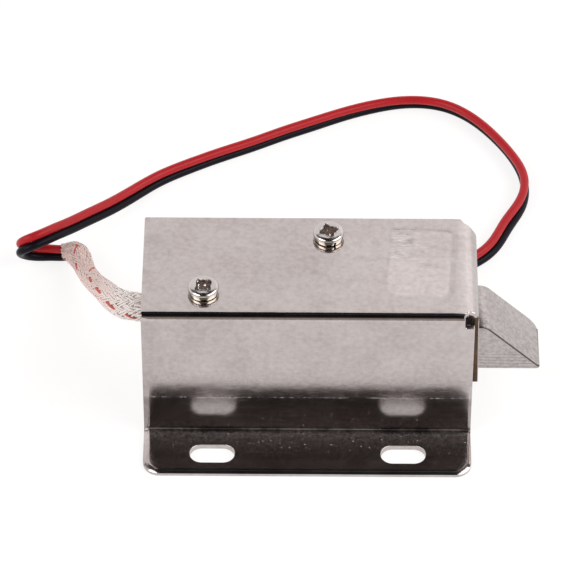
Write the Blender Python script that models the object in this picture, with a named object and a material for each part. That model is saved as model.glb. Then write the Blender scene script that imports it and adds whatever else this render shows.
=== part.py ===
# Small electromagnetic cabinet lock: a bent sheet case screwed to an
# open-frame solenoid whose spring-loaded tongue stands out of the right end.
#
# Frame (metres, +Z up): the origin is on the underside of the mounting flange,
# halfway between its two slots. +X runs along the case to the tongue, +Y runs
# from the flange to the open back.
import bpy
import bmesh
import math
import numpy as np
from mathutils import Vector, Matrix

for ob in list(bpy.data.objects):
    bpy.data.objects.remove(ob, do_unlink=True)

MM = 0.001

# ---------------------------------------------------------------- dimensions
# case, one piece of sheet
SHEET = 1.0                 # sheet thickness
CASE_LEFT = -27.1           # open left end
WALL_RIGHT = 26.9           # right edge of flange and front wall
FLAP_OUT = 27.7             # outer face of the end flap
FLANGE_FRONT = -4.25        # front edge of the flange
WALL_OUT = 5.4              # outer face of the front wall
TOP_BACK = 28.6             # back edge of the top plate
TOP = 27.5                  # upper face of the top plate
FOLD_R = 0.5                # inner radius, flange to wall
EDGE_R = 1.1                # outer radius, wall to top plate
FLAP_R = 1.7                # outer radius, top plate to end flap
FLAP_FRONT = 6.7            # sheared front edge of the end flap
FLAP_BACK = 27.7            # back edge of the bend, before its corner is cut
FLAP_BOTTOM = 10.9
SLOT_X = 15.72              # slot centres at +-X, Y = 0
SLOT_LONG = 7.6
SLOT_WIDE = 4.0
FLANGE_CORNER = 2.8
RELIEF_LEFT = 25.35         # relief slit at the three-way corner
RELIEF_BOTTOM = 25.0
RELIEF_BACK = 6.4
PAD = (13.2, 10.4, 23.9, 26.05)     # pressed pad: x0, y0, x1, y1
PAD_DEPTH = 0.06
PAD_CORNER = 1.5
SCREWS = {"front": (-17.07, 10.94), "rear": (3.24, 23.99)}

# solenoid
AXIS_Y, AXIS_Z = 17.1, 13.75        # plunger axis
YOKE_LEFT, YOKE_RIGHT = -24.1, 9.0
YOKE_T = 2.0
YOKE_TOP = 26.2
YOKE_HALF = 10.0                    # half width along Y
LEG_NOTCH = (7.4, 13.0, 22.5)       # z0, z1, y0 of the lead notch
PLUNGER_R = 3.5
NOSE_R = 2.6
PLUNGER_LEFT = -2.3
CORE_FACE = -11.6                   # face of the fixed core: 9.3 mm gap
STROKE = 9.0

# tongue
T_Y0, T_Y1 = 12.15, 22.05
T_Z0, T_Z1 = 9.0, 18.5
T_REAR = 22.6
T_TIP = 38.5
T_SLOPE = 47.55                     # the slope is the line x + z = T_SLOPE
SHOULDER = (24.6, 26.1, 10.9, 23.3) # x0, x1, y0, y1

# spring, between the yoke's right leg and the rear of the tongue
SPRING_X0, SPRING_X1 = 9.3, 22.3
SPRING_WIRE = 0.5
SPRING_MEAN_R = 4.15
SPRING_TURNS = 6.0

# leads
LEAD_R = 0.6                        # plain tube; the bonded pair is 1.5 mm apart
PAIR_HALF = 0.75
SLEEVE_R = 2.1


# ------------------------------------------------------------------ helpers
def material(name, rgb, rough, metal=0.0):
    m = bpy.data.materials.new(name)
    m.use_nodes = True
    b = m.node_tree.nodes["Principled BSDF"]
    b.inputs["Base Color"].default_value = (*rgb, 1.0)
    b.inputs["Roughness"].default_value = rough
    b.inputs["Metallic"].default_value = metal
    return m


PLATE = material("nickel_plate", (0.66, 0.63, 0.60), 0.22, 1.0)
STEEL = material("plain_steel", (0.50, 0.49, 0.47), 0.38, 1.0)
CORE = material("core_steel", (0.56, 0.55, 0.53), 0.30, 1.0)
CAST = material("satin_casting", (0.55, 0.54, 0.53), 0.42, 1.0)
NYLON = material("bobbin_nylon", (0.82, 0.80, 0.72), 0.55)
COPPER = material("enamelled_copper", (0.62, 0.27, 0.12), 0.35, 1.0)
TAPE = material("coil_tape", (0.72, 0.55, 0.13), 0.35)
BRASS = material("brass_tube", (0.72, 0.55, 0.26), 0.30, 1.0)
SPRING = material("spring_wire", (0.60, 0.59, 0.57), 0.28, 1.0)
BRAID = material("glass_braid", (0.80, 0.76, 0.72), 0.85)
RED = material("red_pvc", (0.55, 0.03, 0.04), 0.42)
BLACK = material("black_pvc", (0.02, 0.02, 0.025), 0.42)
TIN = material("tinned_strand", (0.62, 0.61, 0.60), 0.35, 1.0)


def place(name, mesh, mat, loc=(0, 0, 0), rot=(0, 0, 0)):
    ob = bpy.data.objects.new(name, mesh)
    bpy.context.scene.collection.objects.link(ob)
    ob.location = Vector(loc) * MM
    ob.rotation_euler = rot
    if mat is not None:
        mesh.materials.clear()
        mesh.materials.append(mat)
    return ob


def mesh_of(bm, name, sharp=35.0):
    bmesh.ops.recalc_face_normals(bm, faces=bm.faces[:])
    me = bpy.data.meshes.new(name)
    bm.to_mesh(me)
    bm.free()
    me.shade_smooth()
    me.set_sharp_from_angle(angle=math.radians(sharp))
    return me


def arc(cx, cy, r, a0, a1, n):
    """Points of an arc, angles in degrees."""
    return [(cx + r * math.cos(math.radians(a0 + (a1 - a0) * i / n)),
             cy + r * math.sin(math.radians(a0 + (a1 - a0) * i / n)))
            for i in range(n + 1)]


def rounded(x0, y0, x1, y1, r, n=4):
    """Outline of a rectangle with rounded corners; r is one radius or four
    (for x1y0, x1y1, x0y1, x0y0)."""
    rs = (r,) * 4 if not isinstance(r, tuple) else r
    pts = []
    for (cx, cy, a), q in zip((((x1, y0), (-1, 1), -90), ((x1, y1), (-1, -1), 0),
                               ((x0, y1), (1, -1), 90), ((x0, y0), (1, 1), 180)), rs):
        c = (cx[0] + cy[0] * q, cx[1] + cy[1] * q)
        pts += arc(c[0], c[1], q, a, a + 90, n) if q > 0 else [cx]
    return pts


def prism(outline, axis, lo, hi):
    """Extrude a closed outline. axis 'Z': outline is (x, y); 'X': (y, z);
    'Y': (x, z)."""
    bm = bmesh.new()
    put = {"Z": lambda p, h: (p[0], p[1], h),
           "X": lambda p, h: (h, p[0], p[1]),
           "Y": lambda p, h: (p[0], h, p[1])}[axis]
    ring = [bm.verts.new(Vector(put(p, lo)) * MM) for p in outline]
    face = bm.faces.new(ring)
    got = bmesh.ops.extrude_face_region(bm, geom=[face])
    shift = Vector(put((0, 0), hi - lo)) * MM
    for v in got["geom"]:
        if isinstance(v, bmesh.types.BMVert):
            v.co += shift
    return bm


def box(x0, x1, y0, y1, z0, z1):
    return prism([(x0, y0), (x1, y0), (x1, y1), (x0, y1)], "Z", z0, z1)


def turned(profile, sides, start=0.0):
    """Turn a closed profile of (radius, height) about Z. A radius of 0 makes
    a point on the axis."""
    bm = bmesh.new()
    rings = []
    for r, h in profile:
        if r <= 1e-9:
            rings.append([bm.verts.new((0, 0, h * MM))])
        else:
            rings.append([bm.verts.new((r * MM * math.cos(start + 2 * math.pi * i / sides),
                                        r * MM * math.sin(start + 2 * math.pi * i / sides),
                                        h * MM)) for i in range(sides)])
    n = len(rings)
    for k in range(n):
        a, b = rings[k], rings[(k + 1) % n]
        if len(a) == 1 and len(b) == 1:
            continue
        for i in range(sides):
            j = (i + 1) % sides
            if len(a) == 1:
                bm.faces.new((a[0], b[i], b[j]))
            elif len(b) == 1:
                bm.faces.new((a[i], b[0], a[j]))
            else:
                bm.faces.new((a[i], b[i], b[j], a[j]))
    return bm


def moved(bm, loc=(0, 0, 0), rot=None):
    if rot is not None:
        bmesh.ops.transform(bm, matrix=rot, verts=bm.verts[:])
    bmesh.ops.translate(bm, vec=Vector(loc) * MM, verts=bm.verts[:])
    return bm


ALONG_X = Matrix.Rotation(math.radians(90), 4, "Y")


def boolean(ob, bm, kind, label):
    me = mesh_of(bm, ob.name + "_" + label)
    tool = bpy.data.objects.new(ob.name + "_" + label, me)
    bpy.context.scene.collection.objects.link(tool)
    tool.location = -ob.location if False else (0, 0, 0)
    tool.hide_render = True
    tool.display_type = "WIRE"
    mod = ob.modifiers.new(label, "BOOLEAN")
    mod.operation = kind
    mod.solver = "EXACT"
    mod.object = tool
    return tool


def cut(ob, bm, label):
    return boolean(ob, bm, "DIFFERENCE", label)


def add(ob, bm, label):
    return boolean(ob, bm, "UNION", label)


def tube_curve(name, pts, r, mat, res, radii=None):
    cu = bpy.data.curves.new(name, "CURVE")
    cu.dimensions = "3D"
    cu.bevel_depth = r * MM
    cu.bevel_resolution = res
    cu.use_fill_caps = True
    cu.render_resolution_u = 0
    sp = cu.splines.new("POLY")
    sp.points.add(len(pts) - 1)
    for i, p in enumerate(pts):
        sp.points[i].co = (p[0] * MM, p[1] * MM, p[2] * MM, 1.0)
        sp.points[i].radius = 1.0 if radii is None else radii[i]
    cu.materials.append(mat)
    ob = bpy.data.objects.new(name, cu)
    bpy.context.scene.collection.objects.link(ob)
    return ob


def natural_spline(points, stations):
    """Smooth cubic through points (natural ends), read at stations given as
    fractions of the chord length; returns an array."""
    p = np.array(points, dtype=float)
    seg = np.linalg.norm(np.diff(p[:, :3], axis=0), axis=1)
    t = np.concatenate([[0.0], np.cumsum(seg)])
    n = len(p)
    a = np.zeros((n, n))
    b = np.zeros((n, p.shape[1]))
    a[0, 0] = a[-1, -1] = 1.0
    for i in range(1, n - 1):
        a[i, i - 1] = seg[i - 1]
        a[i, i] = 2 * (seg[i - 1] + seg[i])
        a[i, i + 1] = seg[i]
        b[i] = 6 * ((p[i + 1] - p[i]) / seg[i] - (p[i] - p[i - 1]) / seg[i - 1])
    m = np.linalg.solve(a, b)
    out = []
    for s in np.asarray(stations, dtype=float) * t[-1]:
        i = min(max(int(np.searchsorted(t, s)) - 1, 0), n - 2)
        h = seg[i]
        u, v = (t[i + 1] - s) / h, (s - t[i]) / h
        out.append(u * p[i] + v * p[i + 1]
                   + ((u ** 3 - u) * m[i] + (v ** 3 - v) * m[i + 1]) * h * h / 6)
    return np.array(out)


# --------------------------------------------------------------------- case
def build_case():
    t = SHEET
    c1y, c1z = WALL_OUT - FOLD_R, t + FOLD_R
    c2y, c2z = WALL_OUT + EDGE_R, TOP - EDGE_R
    profile = [(FLANGE_FRONT, 0.0)]
    profile += arc(c1y, c1z, FOLD_R + t, -90, 0, 4)
    profile += arc(c2y, c2z, EDGE_R - t, 180, 90, 2)
    profile += [(TOP_BACK, TOP - t), (TOP_BACK, TOP)]
    profile += arc(c2y, c2z, EDGE_R, 90, 180, 5)
    profile += arc(c1y, c1z, FOLD_R, 0, -90, 3)
    profile += [(FLANGE_FRONT, t)]
    ob = place("case", mesh_of(prism(profile, "X", CASE_LEFT, WALL_RIGHT), "case"), PLATE)

    # the top plate's right end makes way for the bend of the end flap
    cut(ob, box(RELIEF_LEFT, 28.0, 4.0, 30.0, RELIEF_BOTTOM, 29.0), "end_clear")
    # end flap with its bend, drawn in XZ and run along Y
    cx, cz = FLAP_OUT - FLAP_R, TOP - FLAP_R
    flap = [(RELIEF_LEFT - 1.0, TOP)]
    flap += arc(cx, cz, FLAP_R, 90, 0, 5)
    flap += [(FLAP_OUT, FLAP_BOTTOM), (FLAP_OUT - t, FLAP_BOTTOM)]
    flap += arc(cx, cz, FLAP_R - t, 0, 90, 3)
    flap += [(RELIEF_LEFT - 1.0, TOP - t)]
    add(ob, prism(flap, "Y", FLAP_FRONT, FLAP_BACK), "end_flap")
    # the slant cut across the back end of the bend
    slant = [(25.1, 30.0), (25.1, 28.65), (25.65, 27.65), (26.4, 27.2), (27.1, 26.4),
             (27.5, 25.8), (29.0, 25.8), (29.0, 30.0)]
    cut(ob, prism(slant, "Z", 9.0, 29.0), "back_corner")
    # way for the tongue, open at the bottom
    cut(ob, box(25.9, 28.5, T_Y0 - 0.35, T_Y1 + 0.35, 9.0, T_Z1 + 0.4), "tongue_way")
    # rounded corners at the flange's front
    corner = [(CASE_LEFT - 1, FLANGE_FRONT - 1), (WALL_RIGHT + 1, FLANGE_FRONT - 1),
              (WALL_RIGHT + 1, 2.0), (WALL_RIGHT, 2.0)]
    corner += [(x, y) for x, y in arc(WALL_RIGHT - FLANGE_CORNER, FLANGE_FRONT + FLANGE_CORNER,
                                      FLANGE_CORNER, 0, -90, 5)]
    corner += [(x, y) for x, y in arc(CASE_LEFT + FLANGE_CORNER, FLANGE_FRONT + FLANGE_CORNER,
                                      FLANGE_CORNER, -90, -180, 5)]
    corner += [(CASE_LEFT, 2.0), (CASE_LEFT - 1, 2.0)]
    cut(ob, prism(corner, "Z", -0.5, 1.6), "flange_corners")
    # two mounting slots
    for side in (-1, 1):
        half = SLOT_LONG / 2
        slot = rounded(side * SLOT_X - half, -SLOT_WIDE / 2, side * SLOT_X + half,
                       SLOT_WIDE / 2, SLOT_WIDE / 2, 6)
        cut(ob, prism(slot, "Z", -1.0, 2.5), "slot_left" if side < 0 else "slot_right")
    # pressed pad: lower on top, standing proud underneath
    x0, y0, x1, y1 = PAD
    add(ob, prism(rounded(x0 + .3, y0 + .3, x1 - .3, y1 - .3, PAD_CORNER, 3), "Z",
                  TOP - SHEET - PAD_DEPTH, TOP - 0.5), "pad_below")
    cut(ob, prism(rounded(x0, y0, x1, y1, PAD_CORNER, 3), "Z", TOP - PAD_DEPTH, TOP + 1),
        "pad_above")
    # clearance holes for the two screws
    for k, (x, y) in SCREWS.items():
        cut(ob, moved(turned([(0, -2), (1.55, -2), (1.55, 2), (0, 2)], 16), (x, y, TOP)),
            "hole_" + k)
    return ob


# ----------------------------------------------------------------- solenoid
def build_yoke():
    t = YOKE_T
    r = 2.2
    outer = [(YOKE_LEFT, 0.0), (YOKE_LEFT + t, 0.0)]
    outer += arc(YOKE_LEFT + r, YOKE_TOP - r, r - t, 180, 90, 2)
    outer += arc(YOKE_RIGHT - r, YOKE_TOP - r, r - t, 90, 0, 2)
    outer += [(YOKE_RIGHT - t, 0.0), (YOKE_RIGHT, 0.0)]
    outer += arc(YOKE_RIGHT - r, YOKE_TOP - r, r, 0, 90, 4)
    outer += arc(YOKE_LEFT + r, YOKE_TOP - r, r, 90, 180, 4)
    ob = place("yoke", mesh_of(prism(outer, "Y", AXIS_Y - YOKE_HALF, AXIS_Y + YOKE_HALF), "yoke"),
               STEEL)
    cut(ob, moved(turned([(0, -2), (2.8, -2), (2.8, 2), (0, 2)], 20), (YOKE_LEFT + 1, AXIS_Y, AXIS_Z),
                  ALONG_X), "core_hole")
    cut(ob, moved(turned([(0, -2), (4.3, -2), (4.3, 2), (0, 2)], 24), (YOKE_RIGHT - 1, AXIS_Y, AXIS_Z),
                  ALONG_X), "tube_hole")
    z0, z1, y0 = LEG_NOTCH
    notch = [(y0 + 1.4, z0), (y0 + 8, z0), (y0 + 8, z1), (y0 + 1.4, z1),
             (y0 + .4, z1 - .4), (y0, z1 - 1.4), (y0, z0 + 1.4), (y0 + .4, z0 + .4)]
    cut(ob, prism(notch, "X", YOKE_LEFT - 1, YOKE_LEFT + t + 1), "lead_notch")
    for k, (x, y) in SCREWS.items():
        cut(ob, moved(turned([(0, -2), (1.5, -2), (1.5, 2), (0, 2)], 16), (x, y, YOKE_TOP - 1)),
            "tapped_" + k)
    return ob


def build_core():
    # fixed core: slug in the tube, spigot through the left leg, peened head
    x = YOKE_LEFT
    prof = [(0, CORE_FACE), (3.0, CORE_FACE), (3.4, CORE_FACE - .4), (3.4, x + YOKE_T + .3),
            (2.5, x + YOKE_T + .3), (2.5, x - .3), (3.3, x - .3), (3.1, x - .8), (2.2, x - 1.1),
            (0, x - 1.1)]
    bm = turned(prof, 20)
    return place("pole_core", mesh_of(moved(bm, (0, AXIS_Y, AXIS_Z), ALONG_X), "pole_core"), CORE)


def build_bobbin():
    left, right = YOKE_LEFT + YOKE_T + .4, YOKE_RIGHT - YOKE_T - .4
    prof = [(4.3, left), (5.0, left), (5.0, right), (4.3, right)]
    ob = place("bobbin", mesh_of(moved(turned(prof, 24), (0, AXIS_Y, AXIS_Z), ALONG_X), "bobbin"),
               NYLON)
    h = 9.4
    sq = rounded(AXIS_Y - h, AXIS_Z - h, AXIS_Y + h, AXIS_Z + h, 3.0, 3)
    for lab, a in (("left_cheek", left), ("right_cheek", right - 1.0)):
        bm = prism(sq, "X", a, a + 1.0)
        add(ob, bm, lab)
    cut(ob, moved(turned([(0, left - 1), (4.3, left - 1), (4.3, right + 1), (0, right + 1)], 24),
                  (0, AXIS_Y, AXIS_Z), ALONG_X), "bore")
    z0, z1, y0 = LEG_NOTCH
    cut(ob, box(left - 1, left + 1.6, y0 + 0.2, 30, z0 + .1, z1 - .1), "lead_notch")
    return ob


def annulus(name, r0, r1, x0, x1, mat, sides=32):
    prof = [(r0, x0), (r1, x0), (r1, x1), (r0, x1)]
    return place(name, mesh_of(moved(turned(prof, sides), (0, AXIS_Y, AXIS_Z), ALONG_X), name), mat)


def build_plunger():
    n = T_REAR - 0.4
    prof = [(0, PLUNGER_LEFT), (3.1, PLUNGER_LEFT), (PLUNGER_R, PLUNGER_LEFT + .4), (PLUNGER_R, n),
            (NOSE_R, n), (NOSE_R, 25.9), (2.2, 26.3), (0, 26.3)]
    ob = place("plunger", mesh_of(moved(turned(prof, 24), (0, AXIS_Y, AXIS_Z), ALONG_X), "plunger"),
               CORE)
    cut(ob, moved(turned([(0, -6), (1.0, -6), (1.0, 6), (0, 6)], 14), (24.4, AXIS_Y, AXIS_Z)),
        "pin_hole")
    return ob


def build_tongue():
    # side outline in XZ: flat underneath, short flat on top, then a 45 degree slope
    knee = T_SLOPE - T_Z1
    rk = 2.0
    tk = rk * math.tan(math.radians(22.5))
    side = [(T_REAR - 1, T_Z0)]
    rt = 0.28
    lt = rt / math.tan(math.radians(22.5))
    tip = T_SLOPE - T_Z0
    side += arc(tip - lt, T_Z0 + rt, rt, -90, 45, 4)
    side += arc(knee - tk, T_Z1 - rk, rk, 45, 90, 4)
    side += [(T_REAR - 1, T_Z1)]
    # plan outline in XY: shoulder inside the case, tip with one far corner eased
    x0, x1, y0, y1 = SHOULDER
    plan = [(T_REAR, T_Y0 + .3), (T_REAR + .3, T_Y0), (x0, T_Y0), (x0, y0), (x1, y0), (x1, T_Y0)]
    plan += arc(T_TIP - .45, T_Y0 + .45, .45, -90, 0, 3)
    plan += arc(T_TIP - 1.7, T_Y1 - 1.7, 1.7, 0, 90, 5)
    plan += [(x1, T_Y1), (x1, y1), (x0, y1), (x0, T_Y1), (T_REAR + .3, T_Y1), (T_REAR, T_Y1 - .3)]
    ob = place("latch_bolt", mesh_of(prism(side, "Y", 8.0, 26.0), "latch_bolt"), CAST)
    boolean(ob, prism(plan, "Z", 7.0, 20.0), "INTERSECT", "plan_shape")
    cut(ob, moved(turned([(0, 21.0), (2.9, 21.0), (2.9, 26.6), (0, 26.6)], 20), (0, AXIS_Y, AXIS_Z),
                  ALONG_X), "nose_bore")
    cut(ob, moved(turned([(0, -8), (1.05, -8), (1.05, 8), (0, 8)], 14), (24.4, AXIS_Y, AXIS_Z)),
        "pin_hole")
    return ob


def build_pin():
    prof = [(0, -4.6), (.55, -4.6), (.75, -4.4), (.75, 4.4), (.55, 4.6), (0, 4.6)]
    return place("cross_pin", mesh_of(turned(prof, 14), "cross_pin"), CORE, (24.4, AXIS_Y, AXIS_Z))


def build_spring():
    r = SPRING_MEAN_R
    w = SPRING_WIRE
    x0, x1 = SPRING_X0 + w / 2, SPRING_X1 - w / 2
    per = 14
    n = int(SPRING_TURNS * per)
    pts = []
    for i in range(n + 1):
        turn = i / per
        # one dead turn at each end, the rest evenly open
        k = min(max((turn - .9) / (SPRING_TURNS - 1.8), 0), 1)
        dead = min(turn, .9) / .9 + max(turn - (SPRING_TURNS - .9), 0) / .9
        x = x0 + w * 1.15 * dead + (x1 - x0 - 2.3 * w) * k
        a = 2 * math.pi * turn
        pts.append((x, AXIS_Y + r * math.cos(a), AXIS_Z + r * math.sin(a)))
    return tube_curve("return_spring", pts, w / 2, SPRING, 1)


# ------------------------------------------------------- screws and washers
def build_fastener(k, x, y, turn):
    z = TOP
    prof = [(1.5, .05), (2.42, .05), (2.42, .75), (1.5, .75)]
    ob = place("spring_washer_" + k, mesh_of(moved(turned(prof, 24), (x, y, z)), "spring_washer_" + k),
               PLATE)
    split = [(.6, -.18), (3.4, -.32), (3.4, .12), (.6, .18)]
    cut(ob, moved(prism(split, "Z", -.4, 1.4), (x, y, z), Matrix.Rotation(turn, 4, "Z")), "split")
    # flat pan head, cross recess, shank down into the yoke
    prof = [(0, 1.56), (2.0, 1.52), (2.35, 1.40), (2.55, 1.12), (2.55, .8), (1.2, .8),
            (1.2, -4.0), (1.0, -4.2), (0, -4.2)]
    sc = place("screw_" + k, mesh_of(moved(turned(prof, 24), (x, y, z)), "screw_" + k), PLATE)
    w, l = .46, 1.62
    cross = []
    for i in range(4):
        a = turn + i * math.pi / 2
        for r, s in ((l, -w * .7), (l, w * .7)):
            cross.append((r * math.cos(a) - s * math.sin(a), r * math.sin(a) + s * math.cos(a)))
        b = a + math.pi / 4
        cross.append((w * 1.7 * math.cos(b), w * 1.7 * math.sin(b)))
    cut(sc, moved(prism(cross, "Z", .95, 4.0), (x, y, z)), "cross_recess")


# -------------------------------------------------------------- free leads
# Centre line of the braided sleeve, from the notch in the yoke's left leg out
# of the open end and down to the surface; the last number is its radius.
SLEEVE_ROUTE = [
    (-20.9, 25.2, 10.2, 2.1), (-24.0, 25.2, 10.2, 2.1), (-28.0, 25.25, 10.0, 2.35),
    (-29.9, 25.9, 9.6, 2.4), (-32.0, 27.9, 8.6, 2.3), (-34.5, 32.3, 6.9, 1.95),
    (-37.0, 37.5, 4.7, 1.72), (-38.3, 41.3, 3.5, 1.72), (-39.2, 44.1, 2.7, 1.78),
    (-40.3, 46.2, 2.2, 1.85), (-41.4, 46.95, 1.95, 1.75), (-42.5, 47.1, 1.8, 1.6)]

# Centre line of the bonded pair (x, y, z) with the direction from the black
# lead to the red one. It lies on its edge on the surface, turns back over
# itself at the left, runs round behind and ends behind the case.
PAIR_ROUTE = [
    (-42.8, 47.1, 1.6, 0, 0.2, 0.98), (-44.49, 47.27, 1.52, 0, 0.31, 0.94),
    (-46.18, 47.18, 1.61, 0, 0.45, 0.88), (-47.78, 46.87, 2.05, 0, 0.57, 0.81),
    (-48.99, 46.22, 3.02, 0, 0.66, 0.75), (-49.48, 45.32, 4.35, 0, 0.69, 0.72),
    (-49.01, 44.48, 5.72, -0.01, 0.68, 0.73), (-47.65, 44.36, 6.65, -0.05, 0.65, 0.75),
    (-46.13, 45.05, 6.88, -0.11, 0.6, 0.79), (-44.81, 46.11, 6.71, -0.15, 0.55, 0.82),
    (-43.66, 47.3, 6.35, -0.18, 0.5, 0.84), (-42.57, 48.52, 5.88, -0.21, 0.45, 0.87),
    (-41.51, 49.75, 5.38, -0.23, 0.41, 0.88), (-40.44, 50.99, 4.93, -0.24, 0.41, 0.88),
    (-38.58, 53.11, 4.25, -0.25, 0.42, 0.87), (-34.56, 57.55, 2.9, -0.27, 0.42, 0.87),
    (-30.57, 62.11, 1.92, -0.24, 0.35, 0.9), (-26.14, 66.34, 1.58, -0.13, 0.21, 0.97),
    (-21, 69.69, 1.5, -0.06, 0.11, 0.99), (-15.61, 72.64, 1.5, -0.02, 0.05, 1),
    (-10.12, 75.39, 1.5, 0, 0.02, 1), (-4.71, 78.31, 1.5, 0, 0, 1),
    (0.79, 81.04, 1.5, 0.01, -0.01, 1), (6.32, 83.71, 1.5, 0.05, -0.1, 1),
    (12.06, 85.88, 1.5, 0.03, -0.2, 0.98), (18.09, 87, 1.5, 0.01, -0.32, 0.95),
    (24.1, 86.01, 1.5, -0.08, -0.35, 0.93), (29.1, 82.51, 1.5, -0.18, -0.31, 0.93),
    (32.92, 77.72, 1.5, -0.25, -0.23, 0.94), (35.96, 72.38, 1.5, -0.22, -0.13, 0.97),
    (37.76, 66.54, 1.5, -0.05, -0.02, 1), (37.03, 60.5, 1.5, -0.28, 0.1, 0.95),
    (34.38, 54.96, 1.5, -0.48, 0.27, 0.84), (31.72, 49.43, 1.5, -0.4, 0.23, 0.88),
    (27.31, 45.27, 1.5, -0.16, 0.11, 0.98), (21.52, 43.27, 1.49, -0.02, 0.13, 1),
    (15.47, 42.17, 1.44, 0, 0.3, 0.96), (9.36, 41.56, 1.33, 0, 0.53, 0.85),
    (3.23, 41.3, 1.11, 0, 0.84, 0.54), (-2.9, 41.2, 0.81, 0, 1, 0.01)]


def build_leads():
    st = np.linspace(0, 1, 15)
    s = natural_spline(SLEEVE_ROUTE, st)
    tube_curve("braided_sleeve", [tuple(p[:3]) for p in s], SLEEVE_R, BRAID, 3,
               [p[3] / SLEEVE_R for p in s])
    # fine run of the pair, then stations close together where it turns back
    fine = natural_spline(PAIR_ROUTE, np.linspace(0, 1, 1201))
    run = np.concatenate([[0], np.cumsum(np.linalg.norm(np.diff(fine[:, :3], axis=0), axis=1))])
    total = run[-1]
    stations = [0.0]
    while stations[-1] < total - 0.5:
        here = stations[-1]
        step = 1.5 if here < 12.5 else (3.0 if here < 18 else 5.6)
        stations.append(here + step)
    stations = np.array(stations) * (total / stations[-1])
    pick = np.array([np.interp(stations, run, fine[:, k]) for k in range(6)]).T
    tangent = np.gradient(fine[:, :3], run, axis=0)
    tang = np.array([np.interp(stations, run, tangent[:, k]) for k in range(3)]).T
    red, black = [], []
    for p, t, d in zip(pick, tang, stations):
        t = t / np.linalg.norm(t)
        u = p[3:6] - np.dot(p[3:6], t) * t
        u = u / np.linalg.norm(u)
        # the bond is torn open over the last 14 mm
        gap = PAIR_HALF * (1 + 1.6 * max(0.0, (d - (total - 14)) / 14) ** 1.5)
        red.append(p[:3] + u * gap)
        black.append(p[:3] - u * gap)
    for name, pts, mat in (("red", red, RED), ("black", black, BLACK)):
        pts = np.array(pts)
        pts[:, 2] = np.maximum(pts[:, 2], 0.76)
        tube_curve("lead_" + name, [tuple(p) for p in pts], LEAD_R, mat, 2)
        d = pts[-1] - pts[-2]
        d = d / np.linalg.norm(d)
        a, b = pts[-1] + d * .3, pts[-1] + d * 5.3
        a[2] = b[2] = .5
        tube_curve("lead_tip_" + name, [tuple(a), tuple((a + b) / 2), tuple(b)], .4, TIN, 2)


build_case()
build_yoke()
build_core()
build_bobbin()
annulus("coil_winding", 5.3, 8.5, YOKE_LEFT + YOKE_T + 1.7, YOKE_RIGHT - YOKE_T - 1.7, COPPER, 24)
annulus("coil_tape", 8.8, 9.2, YOKE_LEFT + YOKE_T + 1.7, YOKE_RIGHT - YOKE_T - 1.7, TAPE, 24)
annulus("guide_tube", 3.75, 4.0, YOKE_LEFT + YOKE_T + .6, YOKE_RIGHT, BRASS, 24)
build_plunger()
build_tongue()
build_pin()
build_spring()
build_fastener("front", *SCREWS["front"], math.radians(41))
build_fastener("rear", *SCREWS["rear"], math.radians(18))
build_leads()
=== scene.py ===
# Looks of the small electromagnetic cabinet lock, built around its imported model.
# Lengths are written in millimetres and turned into metres on the way out.
import bpy
import bmesh
import math
import numpy as np
from mathutils import Vector, Matrix, noise
from mathutils.geometry import delaunay_2d_cdt


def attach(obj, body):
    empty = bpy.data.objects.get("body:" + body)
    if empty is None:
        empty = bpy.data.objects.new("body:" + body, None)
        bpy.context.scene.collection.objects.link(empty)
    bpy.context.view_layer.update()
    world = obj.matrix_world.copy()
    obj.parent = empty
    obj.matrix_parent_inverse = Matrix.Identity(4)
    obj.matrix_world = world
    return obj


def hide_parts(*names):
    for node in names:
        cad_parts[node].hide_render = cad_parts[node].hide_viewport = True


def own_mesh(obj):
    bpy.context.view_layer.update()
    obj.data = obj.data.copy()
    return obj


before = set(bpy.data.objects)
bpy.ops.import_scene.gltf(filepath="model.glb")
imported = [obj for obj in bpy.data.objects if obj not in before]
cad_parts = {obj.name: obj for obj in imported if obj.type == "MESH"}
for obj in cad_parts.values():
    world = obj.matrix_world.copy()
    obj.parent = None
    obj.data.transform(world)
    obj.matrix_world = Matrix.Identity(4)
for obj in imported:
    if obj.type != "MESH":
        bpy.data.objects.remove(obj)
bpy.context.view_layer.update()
scene = bpy.context.scene
MM = 0.001

# ------------------------------------------------------------------ camera
CAM_DIST, CAM_ELEV, CAM_YAW, CAM_ROLL = 691.239, 0.76689, 0.0056, 0.00183
CAM_AIM = (-3.3086, 5.4, 33.7337)
CAM_FOCAL = 4313.054            # in pixels of the 576 pixel wide frame


def build_camera():
    c = Vector((math.sin(CAM_YAW) * math.cos(CAM_ELEV), -math.cos(CAM_YAW) * math.cos(CAM_ELEV),
                math.sin(CAM_ELEV)))
    right = Vector((math.cos(CAM_YAW), math.sin(CAM_YAW), 0))
    up = right.cross(-c)
    if up.z < 0:
        up = -up
    r2 = right * math.cos(CAM_ROLL) + up * math.sin(CAM_ROLL)
    u2 = -right * math.sin(CAM_ROLL) + up * math.cos(CAM_ROLL)
    data = bpy.data.cameras.new("camera")
    data.sensor_fit = "HORIZONTAL"
    data.sensor_width = 36.0
    data.lens = CAM_FOCAL * 36.0 / 576.0
    data.clip_start = 0.02
    data.clip_end = 20.0
    ob = bpy.data.objects.new("camera", data)
    scene.collection.objects.link(ob)
    m = Matrix((r2, u2, c)).transposed().to_4x4()
    m.translation = (Vector(CAM_AIM) + c * CAM_DIST) * MM
    ob.matrix_world = m
    scene.camera = ob


build_camera()
scene.view_settings.view_transform = "Standard"
scene.view_settings.look = "None"
scene.view_settings.exposure = 0.0
scene.view_settings.gamma = 1.0


# ----------------------------------------------------------- material tools
def new_material(name):
    m = bpy.data.materials.new(name)
    m.use_nodes = True
    nt = m.node_tree
    b = nt.nodes["Principled BSDF"]
    return m, nt, b


def node(nt, kind, **values):
    n = nt.nodes.new(kind)
    for k, v in values.items():
        if k in n.inputs:
            n.inputs[k].default_value = v
        else:
            setattr(n, k, v)
    return n


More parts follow.
